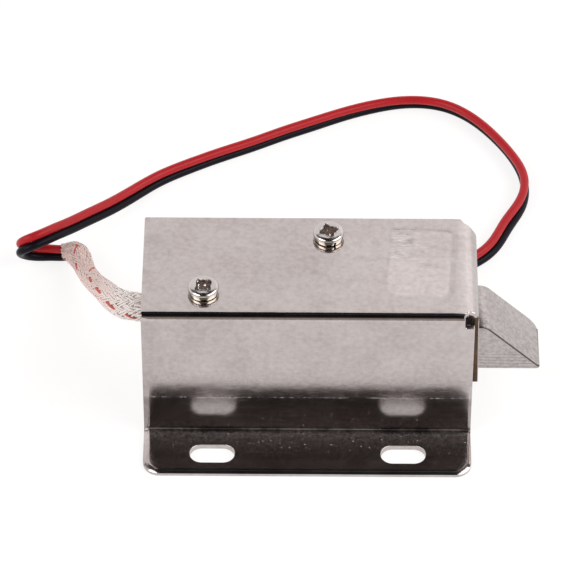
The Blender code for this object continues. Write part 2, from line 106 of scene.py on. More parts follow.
def coords(nt, scale=(1, 1, 1), rot=(0, 0, 0)):
    """Object coordinates in millimetres, stretched by scale."""
    tc = node(nt, "ShaderNodeTexCoord")
    mp = node(nt, "ShaderNodeMapping")
    mp.inputs["Scale"].default_value = [1000.0 * s for s in scale]
    mp.inputs["Rotation"].default_value = rot
    nt.links.new(tc.outputs["Object"], mp.inputs["Vector"])
    return mp.outputs["Vector"]


def noise_of(nt, vec, scale, detail=4.0, rough=0.55, distort=0.0):
    n = node(nt, "ShaderNodeTexNoise", Scale=scale, Detail=detail, Roughness=rough,
             Distortion=distort)
    nt.links.new(vec, n.inputs["Vector"])
    return n.outputs["Fac"]


def ramp(nt, value, stops):
    r = node(nt, "ShaderNodeValToRGB")
    el = r.color_ramp.elements
    while len(el) > 1:
        el.remove(el[-1])
    el[0].position, c = stops[0][0], stops[0][1]
    el[0].color = c if len(c) == 4 else (*c, 1)
    for p, c in stops[1:]:
        e = el.new(p)
        e.color = c if len(c) == 4 else (*c, 1)
    nt.links.new(value, r.inputs["Fac"])
    return r.outputs["Color"]


def grey(nt, value, stops):
    return ramp(nt, value, [(p, (v, v, v)) for p, v in stops])


def maths(nt, op, a, b=None, c=None, clamp=False):
    n = node(nt, "ShaderNodeMath")
    n.operation = op
    n.use_clamp = clamp
    for i, v in enumerate((a, b, c)):
        if v is None:
            continue
        if isinstance(v, (int, float)):
            n.inputs[i].default_value = v
        else:
            nt.links.new(v, n.inputs[i])
    return n.outputs[0]


def mix(nt, fac, a, b):
    n = node(nt, "ShaderNodeMix")
    n.data_type = "RGBA"
    for i, v in ((0, fac), (6, a), (7, b)):
        if isinstance(v, (int, float)):
            n.inputs[i].default_value = v
        elif isinstance(v, (tuple, list)):
            n.inputs[i].default_value = (*v, 1) if len(v) == 3 else v
        else:
            nt.links.new(v, n.inputs[i])
    return n.outputs[2]


def bump(nt, bsdf, height, distance, strength=1.0, under=None):
    n = node(nt, "ShaderNodeBump")
    n.inputs["Strength"].default_value = strength
    n.inputs["Distance"].default_value = distance * MM
    nt.links.new(height, n.inputs["Height"])
    if under is not None:
        nt.links.new(under, n.inputs["Normal"])
    if bsdf is not None:
        nt.links.new(n.outputs["Normal"], bsdf.inputs["Normal"])
    return n.outputs["Normal"]


def attribute(nt, name):
    n = node(nt, "ShaderNodeAttribute")
    n.attribute_name = name
    n.attribute_type = "GEOMETRY"
    return n.outputs["Fac"]


# ---------------------------------------------------------------- materials
def make_casting():
    """Plated casting of the tongue: a grainy, slightly pitted skin, with tool
    lines along its upright sides."""
    m, nt, b = new_material("satin_casting_look")
    b.inputs["Metallic"].default_value = 1.0
    v = coords(nt)
    grain = noise_of(nt, v, 1.25, 5.0, 0.68)
    fine = noise_of(nt, v, 4.5, 4.0, 0.6)
    tone = maths(nt, "MULTIPLY_ADD", fine, 0.35, maths(nt, "MULTIPLY", grain, 0.65))
    color = ramp(nt, tone, [(0.38, (0.335, 0.300, 0.289)), (0.50, (0.438, 0.398, 0.388)),
                            (0.60, (0.505, 0.466, 0.457))])
    r = maths(nt, "MULTIPLY_ADD", fine, 0.14, 0.17)
    nt.links.new(r, b.inputs["Roughness"])
    # tool lines on faces that stand upright and face along y
    geo = node(nt, "ShaderNodeNewGeometry")
    sep = node(nt, "ShaderNodeSeparateXYZ")
    nt.links.new(geo.outputs["True Normal"], sep.inputs[0])
    side = grey(nt, maths(nt, "ABSOLUTE", sep.outputs[1]), [(0.80, 0.0), (0.95, 1.0)])
    high = node(nt, "ShaderNodeSeparateXYZ")
    nt.links.new(v, high.inputs[0])
    drift = noise_of(nt, coords(nt, (0.22, 0.3, 0.3)), 1.0, 2.0, 0.5)
    lines = maths(nt, "SINE", maths(nt, "MULTIPLY_ADD", high.outputs[2], 9.2,
                                    maths(nt, "MULTIPLY", drift, 3.0)))
    lines = grey(nt, maths(nt, "MULTIPLY_ADD", lines, 0.5, 0.5), [(0.60, 0.0), (0.95, 1.0)])
    lines = maths(nt, "MULTIPLY", lines, grey(nt, maths(nt, "MULTIPLY", high.outputs[2], 0.05),
                                              [(0.60, 1.0), (0.67, 0.12)]))
    lines = maths(nt, "MULTIPLY", lines, side)
    color = mix(nt, maths(nt, "MULTIPLY", lines, 0.32), color, (0.20, 0.17, 0.16))
    nt.links.new(color, b.inputs["Base Color"])
    h = maths(nt, "MULTIPLY_ADD", fine, 0.25, grain)
    h = maths(nt, "MULTIPLY_ADD", lines, -1.1, h)
    bump(nt, b, h, 0.030)
    return m


def make_plating():
    """Bright nickel over rolled sheet: near mirror with cloudy patches, fine
    rubs and a few pits."""
    m, nt, b = new_material("nickel_plate_look")
    b.inputs["Metallic"].default_value = 1.0
    v = coords(nt)
    cloud = noise_of(nt, v, 0.13, 5.0, 0.62)
    spots = noise_of(nt, v, 1.1, 4.0, 0.65)
    # streaks left by the rolling of the sheet
    roll = noise_of(nt, coords(nt, (0.10, 2.4, 2.4)), 1.0, 4.0, 0.6)
    tone = maths(nt, "MULTIPLY_ADD", spots, 0.50, maths(nt, "MULTIPLY", cloud, 0.40))
    tone = maths(nt, "MULTIPLY_ADD", roll, 0.10, tone)
    color = ramp(nt, tone, [(0.38, (0.440, 0.389, 0.378)), (0.50, (0.504, 0.452, 0.442)),
                            (0.62, (0.556, 0.508, 0.500))])
    # tone carried by the mesh: real stains and blots, and painted light and shade
    mark = attribute(nt, "tone")
    gain = maths(nt, "ADD", mark, 1.0)
    vm = node(nt, "ShaderNodeVectorMath")
    vm.operation = "SCALE"
    nt.links.new(color, vm.inputs[0])
    nt.links.new(gain, vm.inputs["Scale"])
    nt.links.new(vm.outputs[0], b.inputs["Base Color"])
    # rubs: stretched noise, thresholded into thin lines
    rub = noise_of(nt, coords(nt, (0.35, 5.0, 1.2), (0, 0, 0.35)), 1.0, 4.0, 0.65)
    rub = grey(nt, rub, [(0.52, 0.0), (0.72, 1.0)])
    r = maths(nt, "MULTIPLY_ADD", grey(nt, cloud, [(0.35, 0.0), (0.7, 1.0)]), 0.05, 0.105)
    r = maths(nt, "MULTIPLY_ADD", rub, 0.05, r)
    r = maths(nt, "MULTIPLY_ADD", attribute(nt, "haze"), 0.030, r)
    nt.links.new(r, b.inputs["Roughness"])
    fine = noise_of(nt, v, 4.0, 5.0, 0.65)
    wave = noise_of(nt, v, 0.55, 2.0, 0.5)
    h = maths(nt, "MULTIPLY_ADD", fine, 0.14, wave)
    scr = noise_of(nt, coords(nt, (0.5, 9.0, 9.0), (0.0, 0.0, 1.15)), 1.0, 3.0, 0.6)
    scr = grey(nt, scr, [(0.60, 0.0), (0.70, 1.0)])
    h = maths(nt, "MULTIPLY_ADD", scr, 0.10, h)
    # the punched pad's scuffed face
    pad = attribute(nt, "scuff")
    rag = noise_of(nt, coords(nt, (0.9, 2.8, 2.0), (0, 0, 0.75)), 1.0, 5.0, 0.7, 0.6)
    h = maths(nt, "MULTIPLY_ADD", maths(nt, "MULTIPLY", rag, pad), 1.7, h)
    torn = noise_of(nt, coords(nt, (0.55, 2.6, 1.0), (0, 0, -0.22)), 1.0, 5.0, 0.72, 0.5)
    pale = maths(nt, "MULTIPLY", grey(nt, torn, [(0.54, 0.0), (0.64, 1.0)]), pad)
    dull = maths(nt, "MULTIPLY", grey(nt, torn, [(0.36, 1.0), (0.47, 0.0)]), pad)
    gain = maths(nt, "MULTIPLY_ADD", pale, 0.24, gain)
    gain = maths(nt, "MULTIPLY_ADD", dull, -0.24, gain)
    nt.links.new(gain, vm.inputs["Scale"])
    # dust and grains of dirt, thickest along the fold
    dust = attribute(nt, "dust")
    fog = noise_of(nt, coords(nt, (2.4, 1.8, 1.5)), 1.0, 6.0, 0.75)
    fog = maths(nt, "MULTIPLY", dust, grey(nt, fog, [(0.36, 0.05), (0.62, 1.0)]))
    vor = node(nt, "ShaderNodeTexVoronoi", Scale=1.15)
    nt.links.new(v, vor.inputs["Vector"])
    grain = grey(nt, vor.outputs["Distance"], [(0.07, 1.0), (0.15, 0.0)])
    pick = grey(nt, noise_of(nt, v, 0.9, 1.0, 0.5), [(0.53, 0.0), (0.57, 1.0)])
    grain = maths(nt, "MULTIPLY", maths(nt, "MULTIPLY", grain, pick),
                  grey(nt, dust, [(0.10, 0.0), (0.30, 1.0)]))
    metal = maths(nt, "MULTIPLY_ADD", fog, -0.21, 1.0)
    vor = node(nt, "ShaderNodeTexVoronoi", Scale=2.7)
    nt.links.new(v, vor.inputs["Vector"])
    small = grey(nt, vor.outputs["Distance"], [(0.10, 1.0), (0.20, 0.0)])
    small = maths(nt, "MULTIPLY", maths(nt, "MULTIPLY", small, grey(nt, spots, [(0.49, 0.0), (0.54, 1.0)])),
                  grey(nt, dust, [(0.04, 0.0), (0.22, 1.0)]))
    metal = maths(nt, "MULTIPLY_ADD", small, -0.42, metal)
    # painted glints: dashes along the bending tool's line made pale by less metal
    metal = maths(nt, "MULTIPLY_ADD", attribute(nt, "painted_tool_glint"), -0.70, metal)
    metal = maths(nt, "MULTIPLY_ADD", grain, -0.60, metal, clamp=True)
    nt.links.new(metal, b.inputs["Metallic"])
    h = maths(nt, "MULTIPLY_ADD", grain, 2.5, h)
    bump(nt, b, h, 0.012)
    return m


def make_metal(name, rgb, rough, fine=4.0, depth=0.01, metal=1.0, streak=None, spread=0.08,
               dark=0.85):
    m, nt, b = new_material(name)
    b.inputs["Metallic"].default_value = metal
    v = coords(nt)
    cloud = noise_of(nt, v, 0.35, 5.0, 0.65)
    color = ramp(nt, cloud, [(0.32, tuple(c * dark for c in rgb)), (0.68, rgb)])
    nt.links.new(color, b.inputs["Base Color"])
    if streak is not None:
        s = noise_of(nt, coords(nt, streak), 1.0, 3.0, 0.6)
    else:
        s = noise_of(nt, v, fine, 4.0, 0.6)
    r = maths(nt, "MULTIPLY_ADD", s, spread, rough - spread / 2)
    nt.links.new(r, b.inputs["Roughness"])
    bump(nt, b, s, depth)
    return m


def make_plastic(name, rgb, rough, depth=0.006, dark=0.88, fine=3.0, sub=0.0):
    m, nt, b = new_material(name)
    v = coords(nt)
    cloud = noise_of(nt, v, 0.3, 4.0, 0.6)
    color = ramp(nt, cloud, [(0.3, tuple(c * dark for c in rgb)), (0.7, rgb)])
    nt.links.new(color, b.inputs["Base Color"])
    s = noise_of(nt, v, fine, 4.0, 0.6)
    r = maths(nt, "MULTIPLY_ADD", s, 0.12, rough - 0.06)
    nt.links.new(r, b.inputs["Roughness"])
    bump(nt, b, s, depth)
    return m


PLATE = make_plating()
# painted shade: the sheet's inner face is made dark
INSIDE_SHADE = make_metal("inside_painted_shade_look", (0.12, 0.105, 0.10), 0.40, 2.0, 0.02, dark=0.7)
SHEARED = make_metal("sheared_edge_look", (0.135, 0.088, 0.056), 0.42, 3.0, 0.03, dark=0.6)
SCREW = make_metal("screw_plate_look", (0.585, 0.540, 0.522), 0.12, 3.0, 0.006, dark=0.86)
WASHER = make_metal("washer_plate_look", (0.595, 0.560, 0.485), 0.12, 3.0, 0.006, dark=0.84)
DIRT = make_plastic("recess_dirt_look", (0.115, 0.072, 0.052), 0.42, 0.06, 0.10, 4.0)
# painted shade: near black for the screw recess walls
RECESS_SHADE = make_plastic("recess_painted_shade_look", (0.016, 0.010, 0.008), 0.5, 0.05, 0.5, 4.0)
STEEL = make_metal("plain_steel_look", (0.50, 0.49, 0.47), 0.36, 3.0, 0.02)
CORE = make_metal("core_steel_look", (0.55, 0.54, 0.52), 0.27, streak=(9, 0.3, 0.3), depth=0.004)
SATIN = make_casting()
# painted reflection: a dark material for the tongue's arris
ARRIS_SHADE = make_metal("arris_painted_reflection_look", (0.13, 0.105, 0.10), 0.26, 6.0, 0.02, dark=0.5)
NYLON = make_plastic("bobbin_nylon_look", (0.80, 0.77, 0.68), 0.5)
COPPER = make_metal("enamelled_copper_look", (0.62, 0.27, 0.12), 0.33)
TAPE = make_plastic("coil_tape_look", (0.72, 0.50, 0.08), 0.35, 0.02, 0.8, 1.4)
BRASS = make_metal("brass_tube_look", (0.72, 0.55, 0.26), 0.28)
WIRE = make_metal("spring_wire_look", (0.60, 0.59, 0.57), 0.26)
GLASS = make_plastic("glass_braid_look", (0.92, 0.85, 0.82), 0.50, 0.02, 0.90, 6.0)
# painted shade seen between the yarns of the braid
GAP_SHADE_LINER = make_plastic("braid_gap_shade_look", (0.66, 0.52, 0.47), 0.85, 0.02, 0.85, 6.0)
TRACER = make_plastic("braid_tracer_look", (0.58, 0.095, 0.07), 0.55, 0.02, 0.8, 6.0)


def blush(m):
    """The red lead shows through the braid where the sleeve is tight."""
    nt = m.node_tree
    b = nt.nodes["Principled BSDF"]
    link = b.inputs["Base Color"].links[0]
    color = link.from_socket
    sep = node(nt, "ShaderNodeSeparateXYZ")
    nt.links.new(coords(nt), sep.inputs[0])
    far = maths(nt, "MULTIPLY_ADD", sep.outputs[0], -0.1, -3.1, clamp=True)
    far = ramp(nt, far, [(0.0, (1, 0.985, 0.98)), (0.42, (0.86, 0.745, 0.725)),
                         (0.85, (0.80, 0.665, 0.640))])
    vm = node(nt, "ShaderNodeVectorMath")
    vm.operation = "MULTIPLY"
    nt.links.new(color, vm.inputs[0])
    nt.links.new(far, vm.inputs[1])
    nt.links.new(vm.outputs[0], b.inputs["Base Color"])


blush(GLASS)
blush(GAP_SHADE_LINER)
RED = make_plastic("red_pvc_look", (0.43, 0.010, 0.015), 0.37, 0.004, 0.9, 1.6)
BLACK = make_plastic("black_pvc_look", (0.0058, 0.0042, 0.0085), 0.36, 0.004, 0.8, 1.6)
RED.node_tree.nodes["Principled BSDF"].inputs["Specular IOR Level"].default_value = 0.24
BLACK.node_tree.nodes["Principled BSDF"].inputs["Specular IOR Level"].default_value = 0.11
TIN = make_metal("tinned_strand_look", (0.66, 0.65, 0.63), 0.3, 5.0, 0.01)


# -------------------------------------------------------------- mesh tools
def piece(name, me, mat, body, sharp=None, smooth=True):
    ob = bpy.data.objects.new(name, me)
    scene.collection.objects.link(ob)
    if mat is not None and not me.materials:
        me.materials.append(mat)
    if smooth:
        me.shade_smooth()
    if sharp is not None:
        me.set_sharp_from_angle(angle=math.radians(sharp))
    if body:
        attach(ob, body)
    return ob


def mesh_from(name, verts, faces, scale=MM):
    me = bpy.data.meshes.new(name)
    me.from_pydata([(x * scale, y * scale, z * scale) for x, y, z in verts], [], faces)
    me.validate()
    me.update()
    return me


def arc(cx, cy, r, a0, a1, n):
    return [(cx + r * math.cos(math.radians(a0 + (a1 - a0) * i / n)),
             cy + r * math.sin(math.radians(a0 + (a1 - a0) * i / n)))
            for i in range(n + 1)]


def rounded(x0, y0, x1, y1, r, n=6):
    pts = []
    for (cx, cy, a) in ((x1 - r, y0 + r, -90), (x1 - r, y1 - r, 0), (x0 + r, y1 - r, 90),
                        (x0 + r, y0 + r, 180)):
        pts += arc(cx, cy, r, a, a + 90, n)
    return pts


def prism(outline, axis, lo, hi):
    bm = bmesh.new()
    put = {"Z": lambda p, h: (p[0], p[1], h),
           "X": lambda p, h: (h, p[0], p[1]),
           "Y": lambda p, h: (p[0], h, p[1])}[axis]
    ring = [bm.verts.new(Vector(put(p, lo)) * MM) for p in outline]
    face = bm.faces.new(ring)
    got = bmesh.ops.extrude_face_region(bm, geom=[face])
    shift = Vector(put((0, 0), hi - lo)) * MM
    for v in got["geom"]:
        if isinstance(v, bmesh.types.BMVert):
            v.co += shift
    bmesh.ops.recalc_face_normals(bm, faces=bm.faces[:])
    return bm


def turned(profile, sides, start=0.0, closed=True):
    bm = bmesh.new()
    rings = []
    for r, h in profile:
        if r <= 1e-9:
            rings.append([bm.verts.new((0, 0, h * MM))])
        else:
            rings.append([bm.verts.new((r * MM * math.cos(start + 2 * math.pi * i / sides),
                                        r * MM * math.sin(start + 2 * math.pi * i / sides),
                                        h * MM)) for i in range(sides)])
    n = len(rings)
    for k in range(n if closed else n - 1):
        a, b = rings[k], rings[(k + 1) % n]
        if len(a) == 1 and len(b) == 1:
            continue
        for i in range(sides):
            j = (i + 1) % sides
            if len(a) == 1:
                bm.faces.new((a[0], b[i], b[j]))
            elif len(b) == 1:
                bm.faces.new((a[i], b[0], a[j]))
            else:
                bm.faces.new((a[i], b[i], b[j], a[j]))
    bmesh.ops.recalc_face_normals(bm, faces=bm.faces[:])
    return bm


def soften(profile, r, n=3):
    """Round the corners of a closed profile by up to r."""
    out = []
    m = len(profile)
    for i in range(m):
        a, b, c = (Vector(profile[(i + k) % m]) for k in (-1, 0, 1))
        d1, d2 = a - b, c - b
        if d1.length < 1e-9 or d2.length < 1e-9:
            continue
        ang = d1.angle(d2)
        if b.x < 1e-9 or ang > math.radians(165):
            out.append(tuple(b))
            continue
        t = min(r, d1.length * 0.45, d2.length * 0.45)
        p, q = b + d1.normalized() * t, b + d2.normalized() * t
        for k in range(n + 1):
            s = k / n
            out.append(tuple(p * (1 - s) ** 2 + b * 2 * s * (1 - s) + q * s * s))
    return out


def moved(bm, loc=(0, 0, 0), rot=None):
    if rot is not None:
        bmesh.ops.transform(bm, matrix=rot, verts=bm.verts[:])
    bmesh.ops.translate(bm, vec=Vector(loc) * MM, verts=bm.verts[:])
    return bm


ALONG_X = Matrix.Rotation(math.radians(90), 4, "Y")


def to_mesh(bm, name):
    me = bpy.data.meshes.new(name)
    bm.to_mesh(me)
    bm.free()
    return me


def combine(base, steps, name, bevel=None, segments=2, limit=32.0, clamp=True):
    """Apply a list of (kind, bmesh) Booleans to base, then an edge bevel, and
    return the finished mesh."""
    ob = bpy.data.objects.new(name + "_work", to_mesh(base, name + "_work"))
    scene.collection.objects.link(ob)
    tools = []
    for kind, bm in steps:
        t = bpy.data.objects.new(name + "_tool", to_mesh(bm, name + "_tool"))
        scene.collection.objects.link(t)
        tools.append(t)
        mod = ob.modifiers.new("b", "BOOLEAN")
        mod.operation = kind
        mod.solver = "EXACT"
        mod.object = t
    if bevel:
        mod = ob.modifiers.new("weld", "WELD")
        mod.merge_threshold = 0.004 * MM
        mod = ob.modifiers.new("e", "BEVEL")
        mod.width = bevel * MM
        mod.segments = segments
        mod.limit_method = "ANGLE"
        mod.angle_limit = math.radians(limit)
        mod.use_clamp_overlap = clamp
        mod.miter_outer = "MITER_ARC"
    bpy.context.view_layer.update()
    dg = bpy.context.evaluated_depsgraph_get()
    me = bpy.data.meshes.new_from_object(ob.evaluated_get(dg))
    me.name = name
    for t in tools + [ob]:
        bpy.data.objects.remove(t, do_unlink=True)
    return me


def natural_spline(points, stations):
    """Smooth cubic through points (natural ends), read at fractions of the
    chord length."""
    p = np.array(points, dtype=float)
    seg = np.linalg.norm(np.diff(p[:, :3], axis=0), axis=1)
    t = np.concatenate([[0.0], np.cumsum(seg)])
    n = len(p)
    a = np.zeros((n, n))
    b = np.zeros((n, p.shape[1]))
    a[0, 0] = a[-1, -1] = 1.0
    for i in range(1, n - 1):
        a[i, i - 1] = seg[i - 1]
        a[i, i] = 2 * (seg[i - 1] + seg[i])
        a[i, i + 1] = seg[i]
        b[i] = 6 * ((p[i + 1] - p[i]) / seg[i] - (p[i] - p[i - 1]) / seg[i - 1])
    m = np.linalg.solve(a, b)
    out = []
    for s in np.asarray(stations, dtype=float) * t[-1]:
        i = min(max(int(np.searchsorted(t, s)) - 1, 0), n - 2)
        h = seg[i]
        u, v = (t[i + 1] - s) / h, (s - t[i]) / h
        out.append(u * p[i] + v * p[i + 1]
                   + ((u ** 3 - u) * m[i] + (v ** 3 - v) * m[i + 1]) * h * h / 6)
    return np.array(out)


def run_of(pts):
    return np.concatenate([[0], np.cumsum(np.linalg.norm(np.diff(pts, axis=0), axis=1))])


# -------------------------------------------------------------- free leads
LEAD_D = 1.5
SLEEVE_ROUTE = [
    (-20.9, 25.2, 10.2, 2.1), (-24.0, 25.2, 10.2, 2.1), (-28.0, 25.25, 10.0, 2.35),
    (-29.9, 25.9, 9.6, 2.4), (-32.0, 27.9, 8.6, 2.3), (-34.5, 32.3, 6.9, 1.95),
    (-37.0, 37.5, 4.7, 1.72), (-38.3, 41.3, 3.5, 1.72), (-39.2, 44.1, 2.7, 1.78),
    (-40.3, 46.2, 2.2, 1.85), (-41.4, 46.95, 1.95, 1.75), (-42.5, 47.1, 1.8, 1.6)]

# centre line of the bonded pair with the direction from the black lead to the red
PAIR_ROUTE = [
    (-42.8, 47.1, 1.6, 0, 0.2, 0.98), (-44.49, 47.27, 1.52, 0, 0.31, 0.94),
    (-46.18, 47.18, 1.61, 0, 0.45, 0.88), (-47.78, 46.87, 2.05, 0, 0.57, 0.81),
    (-48.99, 46.22, 3.02, 0, 0.66, 0.75), (-49.48, 45.32, 4.35, 0, 0.69, 0.72),
    (-49.01, 44.48, 5.72, -0.01, 0.68, 0.73), (-47.65, 44.36, 6.65, -0.05, 0.65, 0.75),
    (-46.13, 45.05, 6.88, -0.11, 0.6, 0.79), (-44.81, 46.11, 6.71, -0.15, 0.55, 0.82),
    (-43.66, 47.3, 6.35, -0.18, 0.5, 0.84), (-42.57, 48.52, 5.88, -0.21, 0.45, 0.87),
    (-41.51, 49.75, 5.38, -0.23, 0.41, 0.88), (-40.44, 50.99, 4.93, -0.24, 0.41, 0.88),
    (-38.58, 53.11, 4.25, -0.25, 0.42, 0.87), (-34.56, 57.55, 2.9, -0.27, 0.42, 0.87),
    (-30.57, 62.11, 1.92, -0.24, 0.35, 0.9), (-26.14, 66.34, 1.58, -0.13, 0.21, 0.97),
    (-21, 69.69, 1.5, -0.06, 0.11, 0.99), (-15.61, 72.64, 1.5, -0.02, 0.05, 1),
    (-10.12, 75.39, 1.5, 0, 0.02, 1), (-4.71, 78.31, 1.5, 0, 0, 1),
    (0.79, 81.04, 1.5, 0.01, -0.01, 1), (6.32, 83.71, 1.5, 0.05, -0.1, 1),
    (12.06, 85.88, 1.5, 0.03, -0.2, 0.98), (18.09, 87, 1.5, 0.01, -0.32, 0.95),
    (24.1, 86.01, 1.5, -0.08, -0.35, 0.93), (29.1, 82.51, 1.5, -0.18, -0.31, 0.93),
    (32.92, 77.72, 1.5, -0.25, -0.23, 0.94), (35.96, 72.38, 1.5, -0.22, -0.13, 0.97),
    (37.76, 66.54, 1.5, -0.05, -0.02, 1), (37.03, 60.5, 1.5, -0.28, 0.1, 0.95),
    (34.38, 54.96, 1.5, -0.48, 0.27, 0.84), (31.72, 49.43, 1.5, -0.4, 0.23, 0.88),
    (27.31, 45.27, 1.5, -0.16, 0.11, 0.98), (21.52, 43.27, 1.49, -0.02, 0.13, 1),
    (15.47, 42.17, 1.44, 0, 0.3, 0.96), (9.36, 41.56, 1.33, 0, 0.53, 0.85),
    (3.23, 41.3, 1.11, 0, 0.84, 0.54), (-2.9, 41.2, 0.81, 0, 1, 0.01)]


def lead_paths():
    hidden = (-41.4, 47.05, 1.72, 0, 0.15, 0.99)     # start of the pair inside the sleeve
    fine = natural_spline([hidden] + PAIR_ROUTE, np.linspace(0, 1, 1601))
    run = run_of(fine[:, :3])
    total = run[-1]
    tangent = np.gradient(fine[:, :3], run, axis=0)
    red, black = [], []
    for p, t, d in zip(fine, tangent, run):
        t = t / np.linalg.norm(t)
        u = p[3:6] - np.dot(p[3:6], t) * t
        u = u / np.linalg.norm(u)
        gap = 0.5 * LEAD_D * (1 + 1.6 * max(0.0, (d - (total - 14)) / 14) ** 1.5)
        red.append(p[:3] + u * gap)
        black.append(p[:3] - u * gap)
    out = []
    for pts in (red, black):
        pts = np.array(pts)
        pts[:, 2] = np.maximum(pts[:, 2], 0.76)
        r = run_of(pts)
        st = np.linspace(0, r[-1], int(r[-1] / 0.55))
        out.append(np.array([np.interp(st, r, pts[:, k]) for k in range(3)]).T)
    return out


def cord_curve(name, pts, radius, mat, res=6):
    cu = bpy.data.curves.new(name, "CURVE")
    cu.dimensions = "3D"
    cu.bevel_depth = radius * MM
    cu.bevel_resolution = res
    cu.use_fill_caps = True
    cu.resolution_u = 1
    cu.render_resolution_u = 0
    sp = cu.splines.new("POLY")
    sp.points.add(len(pts) - 1)
    for i, p in enumerate(pts):
        sp.points[i].co = (p[0] * MM, p[1] * MM, p[2] * MM, 1.0)
    sp.use_smooth = True
    cu.materials.append(mat)
    ob = bpy.data.objects.new(name, cu)
    scene.collection.objects.link(ob)
    return ob


def frames_along(pts, hint):
    """Tangent and two normals at each point; the first normal leans to hint."""
    t = np.gradient(pts, axis=0)
    t /= np.linalg.norm(t, axis=1)[:, None]
    hint = np.asarray(hint, float)
    n = hint[None, :] - (t @ hint)[:, None] * t
    n /= np.linalg.norm(n, axis=1)[:, None]
    b = np.cross(t, n)
    return t, n, b


def tube_mesh(verts, faces, pts, n, b, ra, rb, sides, caps=True, phase=0.0):
    """Append a tube of elliptical section (ra along n, rb along b)."""
    base = len(verts)
    m = len(pts)
    ra = np.broadcast_to(ra, (m,))
    rb = np.broadcast_to(rb, (m,))
    for i in range(m):
        for k in range(sides):
            a = 2 * math.pi * k / sides + phase
            q = pts[i] + n[i] * (ra[i] * math.cos(a)) + b[i] * (rb[i] * math.sin(a))
            verts.append(tuple(q))
    for i in range(m - 1):
        for k in range(sides):
            j = (k + 1) % sides
            faces.append((base + i * sides + k, base + i * sides + j,
                          base + (i + 1) * sides + j, base + (i + 1) * sides + k))
    if caps:
        faces.append(tuple(base + k for k in range(sides))[::-1])
        faces.append(tuple(base + (m - 1) * sides + k for k in range(sides)))


def tip_strands(name, start, direction):
    """Seven tinned strands twisted together, the bared end of a lead."""
    d = np.array(direction, float)
    d /= np.linalg.norm(d)
    rng = np.random.default_rng(7)
    verts, faces = [], []
    up = np.array([0, 0, 1.0])
    n0 = up - d * (up @ d)
    n0 /= np.linalg.norm(n0)
    b0 = np.cross(d, n0)
    length = 5.3
    for k in range(7):
        r0 = 0.0 if k == 6 else 0.26
        ph = k * math.pi / 3
        extra = rng.uniform(-0.25, 0.0)
        pts = []
        for i in range(24):
            s = i / 23
            a = ph + s * 5.5
            spread = r0 * (1 + 0.35 * max(0, s - 0.8) / 0.2)
            pts.append(np.array(start) + d * (length + extra) * s
                       + n0 * spread * math.cos(a) + b0 * spread * math.sin(a))
        pts = np.array(pts)
        _, n, b = frames_along(pts, n0)
        tube_mesh(verts, faces, pts, n, b, 0.135, 0.135, 8)
    return mesh_from(name, verts, faces)


def build_leads():
    out = []
    for which, pts, mat in (("red", lead_paths()[0], RED), ("black", lead_paths()[1], BLACK)):
        ob = cord_curve("pvc_lead_" + which, pts, LEAD_D / 2, mat)
        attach(ob, "lock_body")
        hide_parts("lead_" + which)
        d = pts[-1] - pts[-4]
        d = d / np.linalg.norm(d)
        start = pts[-1] - d * 0.4
        flat = np.array([d[0], d[1], 0.0])
        flat /= np.linalg.norm(flat)
        start[2] = max(start[2], 0.5)
        tip = piece("bared_tip_" + which, tip_strands("bared_tip_" + which, start, flat), TIN,
                    "lock_body")
        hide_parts("lead_tip_" + which)
        length = run_of(pts)[-1]
        out.append(length)
    return out


# how the braid runs along the sleeve: distance (mm), angle of the tracer
# (degrees), and the number of crossings made so far
TWIST = [(0, -100), (4, -80), (8.4, -61), (10.2, -46), (12.0, -35), (14.4, -28), (16.8, -24),
         (19.3, -19), (21.6, -11), (23.4, 0), (25.0, 17), (26.3, 45), (28.4, 125), (30.3, 143),
         (32.5, 162), (33.2, 190), (33.8, 212), (35.3, 236)]
CROSSINGS = [(0, -8.2), (8.38, -0.5), (10.15, 1.5), (12.0, 3.5), (14.39, 5.5), (16.77, 7.5),
             (19.33, 9.5), (21.62, 11.5), (23.38, 13.5), (25.05, 15.5), (27.0, 17.5),
             (28.57, 19.5), (30.33, 21.5), (32.47, 23.5), (34.2, 25.5), (36.0, 27.5)]
CARRIERS = 16


def smoothed(marks, at, width):
    """Read a broken line at the given places, with its corners rounded."""
    x = np.array([p[0] for p in marks], float)
    y = np.array([p[1] for p in marks], float)
    span = np.linspace(-width, width, 15)
    kern = np.exp(-(span / (0.5 * width)) ** 2)
    kern /= kern.sum()
    out = np.zeros(len(at))
    for d, g in zip(span, kern):
        q = at + d
        v = np.interp(q, x, y)
        v = np.where(q < x[0], y[0] + (q - x[0]) * (y[1] - y[0]) / (x[1] - x[0]), v)
        v = np.where(q > x[-1], y[-1] + (q - x[-1]) * (y[-1] - y[-2]) / (x[-1] - x[-2]), v)
        out += g * v
    return out


